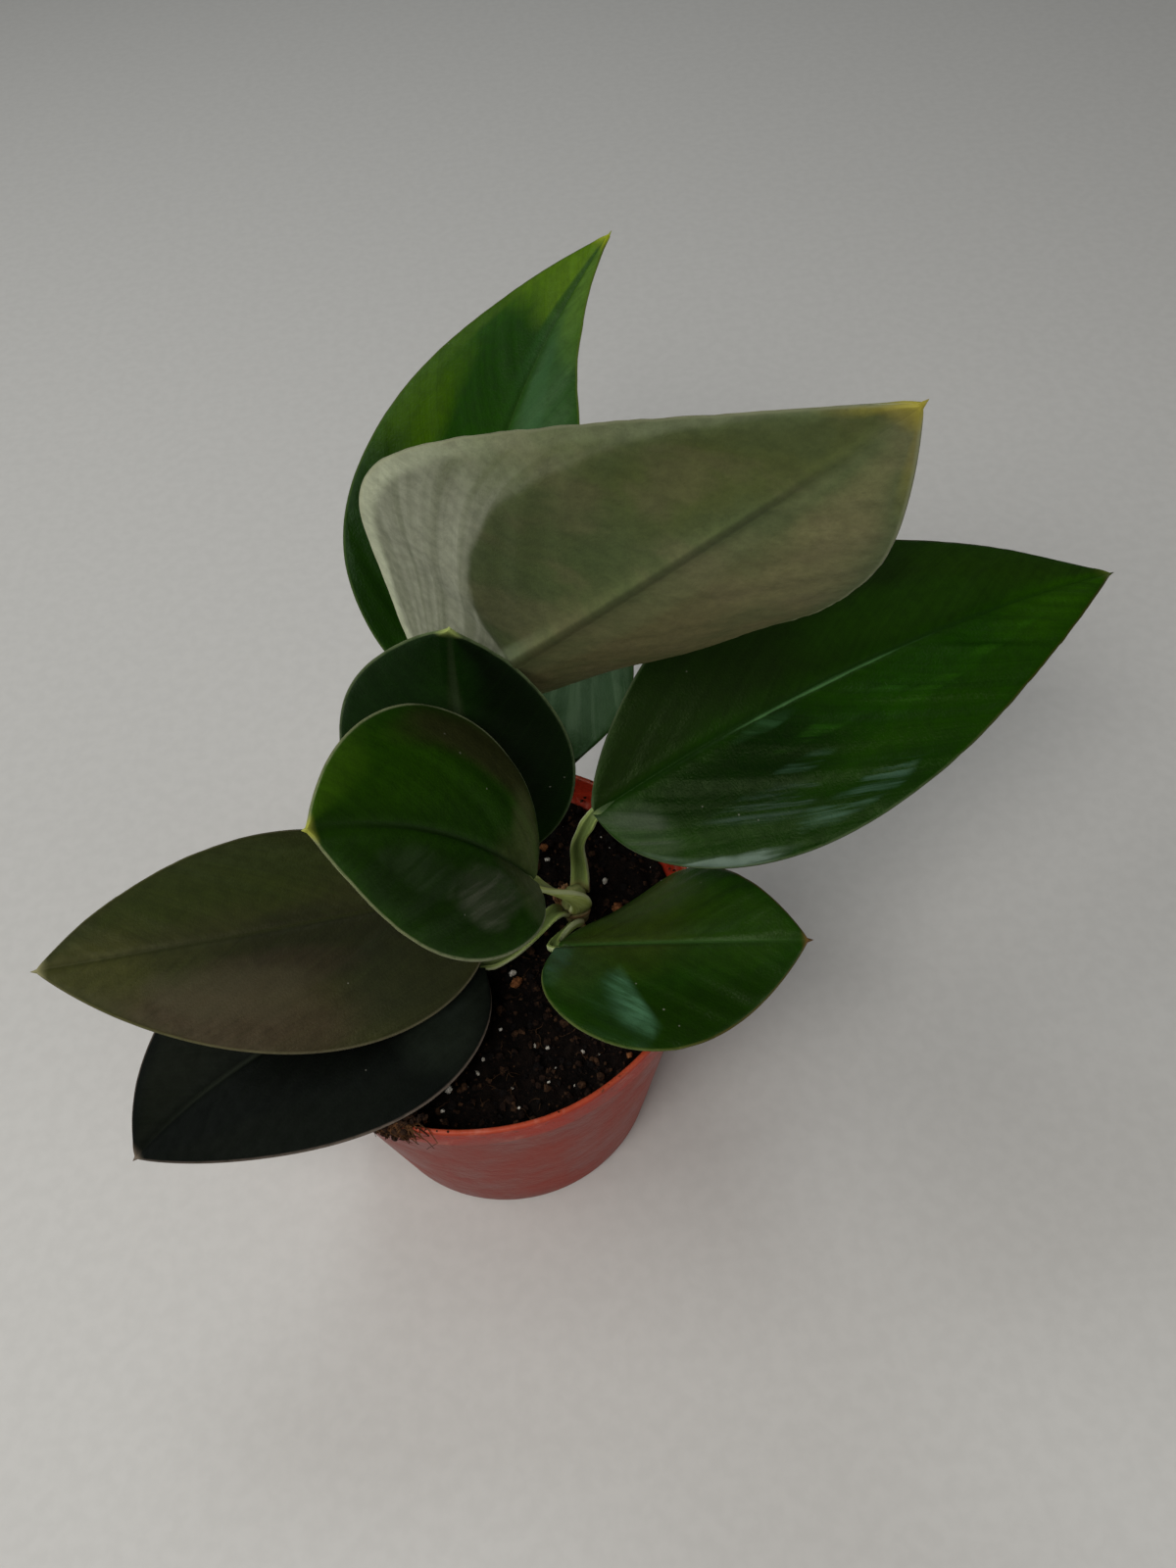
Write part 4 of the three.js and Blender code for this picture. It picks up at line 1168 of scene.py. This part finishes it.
# Loose grain
def ball(detail):
    """Corners and faces of an even ball, from a cube whose faces are halved and pushed out."""
    points = [np.array([x, y, z], float) for x in (-1, 1) for y in (-1, 1) for z in (-1, 1)]
    faces = [(0, 1, 3, 2), (4, 6, 7, 5), (0, 4, 5, 1), (2, 3, 7, 6), (0, 2, 6, 4), (1, 5, 7, 3)]
    for _ in range(detail):
        halves, made = {}, []

        def half(a, b):
            key = (min(a, b), max(a, b))
            if key not in halves:
                halves[key] = len(points)
                points.append((points[a] + points[b]) / 2)
            return halves[key]

        for face in faces:
            points.append(sum(points[i] for i in face) / 4)
            centre = len(points) - 1
            for i in range(4):
                a, b, before = face[i], face[(i + 1) % 4], face[i - 1]
                made.append((a, half(a, b), centre, half(before, a)))
        faces = made
    return unit(np.array(points)), faces


def lumps(name, spots, material, seed, detail=1, roughness=0.28, flat=0.75):
    """One mesh of many irregular lumps, at (x, y, z, radius)."""
    rng = np.random.default_rng(seed)
    shape, shape_faces = ball(detail)
    points, faces = [], []
    for x, y, z, radius in spots:
        turn = np.linalg.qr(rng.normal(size=(3, 3)))[0]
        if np.linalg.det(turn) < 0:
            turn[:, 0] *= -1
        sizes = radius * np.array([1, rng.uniform(0.6, 1), rng.uniform(0.45, 0.9)])
        knobbly = 1 + roughness * rng.uniform(-1, 1, len(shape))[:, None]
        body = (shape * knobbly * sizes) @ turn.T
        body[:, 2] *= flat
        first = len(points) * len(shape)
        points.append(body + [x, y, z])
        faces += [tuple(first + i for i in face) for face in shape_faces]
    made = mesh_object(name, np.vstack(points), faces, [material], smooth_shading=detail > 1)
    return carried(made, "soil")


def scatter(count, radius_limit, rng):
    """Places on the bed, clear of the stems."""
    spots = []
    while len(spots) < count:
        x, y = rng.uniform(-radius_limit, radius_limit, 2)
        near = min(math.hypot(x - size["x"], y - size["y"]) for size in STEMS.values())
        if math.hypot(x, y) < radius_limit and near > STEM_CLEARANCE:
            spots.append((x, y))
    return spots


def on_bed(x, y, lift, radius):
    return x, y, rough_bed(x, y) + lift, radius


def crumbs():
    rng = np.random.default_rng(21)
    heaps = [[] for _ in CRUMB_COLOURS]
    for x, y in scatter(CRUMB_COUNT, BED_RADIUS - 0.1, rng):
        size = 0.24 + 0.85 * rng.random() ** 3
        spot = on_bed(x, y, size * 0.25, size)
        heaps[rng.integers(0, len(heaps))].append(spot)
    for number, (name, shades) in enumerate(CRUMB_COLOURS.items()):
        lumps("peat_crumbs_" + name, heaps[number], crumb_look("crumb_" + name, *shades), 31 + number)


def grains():
    rng = np.random.default_rng(41)
    white = [on_bed(x, y, radius * 0.35, radius * 0.7) for x, y, radius in PERLITE]
    for x, y in scatter(FINE_PERLITE_COUNT, 38.5, rng):
        size = rng.uniform(0.12, 0.3)
        white.append(on_bed(x, y, size * 0.4, size))
    amber = [on_bed(x, y, radius * 0.4, radius) for x, y, radius in BARK]
    lumps("perlite", white, crumb_look("perlite", 0x9A9488, 0xD8D4C8), 42, 2, 0.3, 0.85)
    lumps("bark_chips", amber, crumb_look("bark", 0x54301A, 0x96623A), 43, 2, 0.34, 0.7)


def threads(name, paths, radii, material, slot):
    """One mesh of thin threads along paths, each tapering to both ends."""
    points, faces = [], []
    for path, radius in zip(paths, radii):
        path = np.asarray(path, float)
        tangent = unit(np.gradient(path, axis=0))
        aside = unit(np.cross(tangent, [0.31, 0.2, 0.93]))
        other = np.cross(tangent, aside)
        first = len(points)
        for i in range(len(path)):
            thick = radius * (0.35 + 0.65 * math.sin(math.pi * (i + 0.6) / (len(path) + 0.2)))
            for k in range(THREAD_SIDES):
                angle = FULL_TURN * k / THREAD_SIDES
                points.append(path[i] + (aside[i] * math.cos(angle) + other[i] * math.sin(angle)) * thick)
        faces += [tuple(first + i for i in face) for face in tube_faces(len(path), THREAD_SIDES)]
    return carried(mesh_object(name, points, faces, [material]), slot)


def wandering(start, heading, length, rng):
    """A crooked thread lying on the bed."""
    x, y = start
    path = []
    for _ in range(FIBRE_STEPS):
        path.append([x, y, rough_bed(x, y) + FIBRE_LIFT + 0.35 * rng.random()])
        heading += rng.normal(0, 0.45)
        hop = polar(length, heading)
        x += hop[0] / FIBRE_STEPS
        y += hop[1] / FIBRE_STEPS
        reach = math.hypot(x, y)
        if reach > BED_RADIUS:
            x, y = x * BED_RADIUS / reach, y * BED_RADIUS / reach
    return path


def peat_fibres():
    rng = np.random.default_rng(51)
    spots = scatter(FIBRE_COUNT, 37.5, rng)
    paths = [wandering(spot, rng.uniform(0, FULL_TURN), rng.uniform(1.5, 6), rng) for spot in spots]
    radii = rng.uniform(0.05, 0.11, len(paths))
    threads("peat_fibres", paths, radii, crumb_look("fibre", 0x24170E, 0x4A3522), "soil")


def rim_tuft():
    """A tuft of fibre and crumbs that hangs over the rim under the low leaf."""
    rng = np.random.default_rng(61)
    paths, radii, clods = [], [], []
    for _ in range(TUFT_FIBRE_COUNT):
        bearing = TUFT_BEARING + rng.normal(0, 0.05)
        inside = RIM_RADIUS - rng.uniform(2.5, 6.0)
        over = RIM_RADIUS + rng.uniform(0.1, 1.5)
        drop = rng.uniform(0.3, 3.6)
        bearings = bearing + np.concatenate([[0], np.cumsum(rng.normal(0, 0.035, 4))])
        stops = [
            (inside, SOIL_LEVEL + 0.6), (RIM_RADIUS - 1.6, POT_HEIGHT - 0.6),
            (RIM_RADIUS - 0.4, POT_HEIGHT + 0.35), (over, POT_HEIGHT - 0.4), (over + 0.1, POT_HEIGHT - drop),
        ]
        paths.append([[*polar(r, b), z + rng.uniform(0, 0.5)] for (r, z), b in zip(stops, bearings)])
        radii.append(rng.uniform(0.07, 0.17))
    for _ in range(TUFT_CRUMB_COUNT):
        bearing = TUFT_BEARING + rng.normal(0, 0.055)
        t = rng.random()
        outer_drop = 4.2 * rng.random() * smooth(t, 0.55, 1.0)
        inner_drop = 3.0 * (1 - smooth(t, 0.0, 0.5)) * rng.random()
        x, y = polar(blend(RIM_RADIUS - 3.5, RIM_RADIUS + 1.1, t), bearing)
        clods.append((x, y, POT_HEIGHT + 0.35 - outer_drop - inner_drop, rng.uniform(0.3, 0.85)))
    threads("rim_tuft_fibres", paths, radii, crumb_look("tuft_fibre", 0x2E1D12, 0x6E4A2C), "soil")
    lumps("rim_tuft_crumbs", clods, crumb_look("tuft_crumb", 0x160E0A, 0x3E2A1C), 62)


def rim_crumbs():
    """Crumbs left down the inner face of the rim and on the lip."""
    rng = np.random.default_rng(71)
    spots = []
    for _ in range(INNER_CRUMB_COUNT):
        bearing = rng.uniform(0, FULL_TURN)
        low = rng.random() ** 0.6
        radius = blend(MOUTH_RADIUS - 0.15, BODY_TOP_RADIUS - WALL + 0.2, low)
        height = blend(POT_HEIGHT - 1.5, SOIL_LEVEL - 0.2, low)
        spots.append((*polar(radius, bearing), height, rng.uniform(0.18, 0.5)))
    for _ in range(LIP_CRUMB_COUNT):
        x, y = polar(RIM_RADIUS - WALL / 2, rng.uniform(0, FULL_TURN))
        spots.append((x, y, POT_HEIGHT + 0.08, rng.uniform(0.12, 0.3)))
    lumps("rim_crumbs", spots, crumb_look("rim_crumb", 0x1B110B, 0x513721), 72)


# Stems
def stem(name, material):
    size = STEMS[name]
    profile = [(0, STEM_SHOWN_FROM)]
    for height in np.linspace(STEM_SHOWN_FROM, size["top"], STEM_RINGS):
        turn = math.cos((size["top"] - TOP_NODE_DEPTH - height) / NODE_SPACING * FULL_TURN)
        swelling = NODE_SWELLING * max(0.0, turn) + NODE_RING * bump_of(turn, 1, 0.03)
        rounding = math.sqrt(max(0.0, 1 - max(0.0, (height - size["top"] + 1.3) / 1.5) ** 2))
        profile.append(((size["radius"] + swelling) * max(rounding, 0.25), height))
    profile.append((0, size["top"] + 0.35))

    def uneven(radius, height, angle):
        return radius * (1 + 0.035 * math.sin(3 * angle + height * 0.4) + 0.02 * math.sin(7 * angle)), height

    points, faces = lathe(profile, STEM_SIDES, size["x"], size["y"], uneven)
    return carried(mesh_object("shoot_" + name, points, faces, [material]), "stem", name)


def root_stubs():
    """Short aerial roots at the nodes, running down into the bed."""
    rng = np.random.default_rng(81)
    paths, radii = [], []
    for name, bearings in (("stem_right", (95, 150, 285)), ("stem_left", (40, 150, 235, 320))):
        size = STEMS[name]
        for bearing in bearings:
            start = np.array([size["x"], size["y"], SOIL_LEVEL + rng.uniform(1.6, 2.6)])
            away = np.array([*polar(1.0, math.radians(bearing)), 0])
            steps = ((-0.8, 0), (0.5, 0.1), (1.4, 0.8), (2.0, 1.9), (2.4, 3.4))
            paths.append([start + away * (size["radius"] + out) - [0, 0, drop] for out, drop in steps])
            radii.append(rng.uniform(0.45, 0.6))
    threads("root_stubs", paths, radii, crumb_look("root", 0x5A4228, 0x9A8154), "stem")


def papery_scale(name, stem_name, material, start, end, low, height, inner, flare, seed, nodes=()):
    """A dry sheath: a thin curved sheet round a stem with a torn upper edge."""
    size = STEMS[stem_name]
    torn = np.random.default_rng(seed).uniform(0.55, 1.0, SCALE_COLUMNS)
    torn = np.convolve(np.pad(torn, 1, mode="edge"), [0.2, 0.6, 0.2], "valid")
    points = []
    for j in range(SCALE_COLUMNS):
        angle = math.radians(blend(start, end, j / (SCALE_COLUMNS - 1)))
        back, front = [], []
        for i in range(SCALE_ROWS):
            share = i / (SCALE_ROWS - 1)
            crinkle = 0.12 * math.sin(j * 1.9 + i * 0.7) * share
            radius = size["radius"] + inner + flare * share**1.4 + crinkle
            for sheet, thickness in ((back, 0.0), (front, SCALE_THICKNESS)):
                x, y = polar(radius + thickness, angle)
                sheet.append([size["x"] + x, size["y"] + y, low + height * share * torn[j]])
        points += back + front[::-1]
    made = mesh_object(name, points, tube_faces(SCALE_COLUMNS, 2 * SCALE_ROWS), [material])
    return carried(made, "dry_sheath", *nodes)


# The object
pot()
soil()
crumbs()
grains()
peat_fibres()
rim_crumbs()
rim_tuft()
green_stem = stem_look()
for stem_name in STEMS:
    stem(stem_name, green_stem)
root_stubs()
paper = papery_look()
papery_scale(
    "dry_sheath_right", "stem_right", paper, start=104, end=162, low=52.4, height=5.2,
    inner=0.6, flare=1.4, seed=91, nodes=["old_sheath"],
)
papery_scale(
    "dry_sheath_left", "stem_left", paper, start=205, end=262, low=51.6, height=3.6,
    inner=0.55, flare=1.0, seed=92,
)
green_stalk = stalk_look()
# A brighter copy of the stalk look, for the centre leaf's stalk: painted light on a stalk that the blades
# above shade.
lit_stalk = stalk_look("lit_stalk", 0xA4B050, 0xC2CC7E)
for leaf_name, leaf_sizes in LEAVES.items():
    blade(leaf_name, leaf_sizes)
    stalk(leaf_name, leaf_sizes, lit_stalk if leaf_name == "centre" else green_stalk)


# Floor, light and camera
def floor():
    look = Look("pale_floor", 0.75)
    look.paint = look.mix(look.noise(look.place(), 300).ramp(0.3, 0.7), 0xC9C7C3, 0xCDCBC7)
    half = FLOOR_SIZE / 2
    corners = [[-half, -half, 0], [half, -half, 0], [half, half, 0], [-half, half, 0]]
    made = mesh_object("pale_ground", corners, [(0, 1, 2, 3)], [look.painted()])


def area_light(name, azimuth, elevation, size, power, tint):
    """A square soft light that looks at the middle of the plant. Azimuth 0 is the -Y side."""
    data = bpy.data.lights.new(name, "AREA")
    data.shape, data.size, data.energy, data.color = "SQUARE", size * MM, power, tint
    lamp = bpy.data.objects.new(name, data)
    turn, rise = math.radians(azimuth), math.radians(elevation)
    level = math.cos(rise)
    back = Vector((math.sin(turn) * level, -math.cos(turn) * level, math.sin(rise)))
    lamp.location = (Vector(PLANT_MIDDLE) + back * LIGHT_DISTANCE) * MM
    lamp.rotation_mode = "QUATERNION"
    lamp.rotation_quaternion = back.to_track_quat("Z", "Y")
    bpy.context.scene.collection.objects.link(lamp)


def surroundings():
    world = bpy.data.worlds.new("studio")
    world.use_nodes = True
    sky = world.node_tree.nodes["Background"]
    sky.inputs[0].default_value = (0.9, 0.95, 1.0, 1)
    sky.inputs[1].default_value = 0.05
    bpy.context.scene.world = world


def camera():
    """The pot's axis as the camera sees it gives the camera's place and turn over the rim's centre."""
    elevation, roll = math.radians(CAMERA_ELEVATION), math.radians(CAMERA_ROLL)
    level = math.cos(elevation)
    axis = np.array([math.sin(roll) * level, -math.cos(roll) * level, -math.sin(elevation)])
    ahead = np.array([0, 0, 1.0])
    row_y = unit(ahead - (ahead @ axis) * axis)
    turn = np.stack([np.cross(row_y, axis), row_y, axis])
    place = turn @ -np.array(CAMERA_OFFSET) + [0, 0, POT_HEIGHT]
    data = bpy.data.cameras.new("camera")
    data.sensor_width = 36
    data.lens = LENS_PIXELS / IMAGE_HEIGHT * data.sensor_width
    data.clip_start, data.clip_end = 0.01, 20
    made = bpy.data.objects.new("camera", data)
    bpy.context.scene.collection.objects.link(made)
    columns = [turn[:, 0], -turn[:, 1], -turn[:, 2]]
    rows = [[*(float(c[i]) for c in columns), float(place[i]) * MM] for i in range(3)]
    made.matrix_world = Matrix([*rows, [0, 0, 0, 1]])
    bpy.context.scene.camera = made


floor()
surroundings()
area_light("key", -26, 50, 420, 4.6, (1.0, 0.98, 0.95))
area_light("left", -88, 38, 600, 3.6, (1.0, 1.0, 0.98))
area_light("low", 58, 16, 400, 1.7, (1.0, 0.99, 0.97))
area_light("back", -167, 50, 260, 1.3, (0.9, 0.97, 1.0))
camera()
bpy.context.scene.view_settings.view_transform = "Standard"
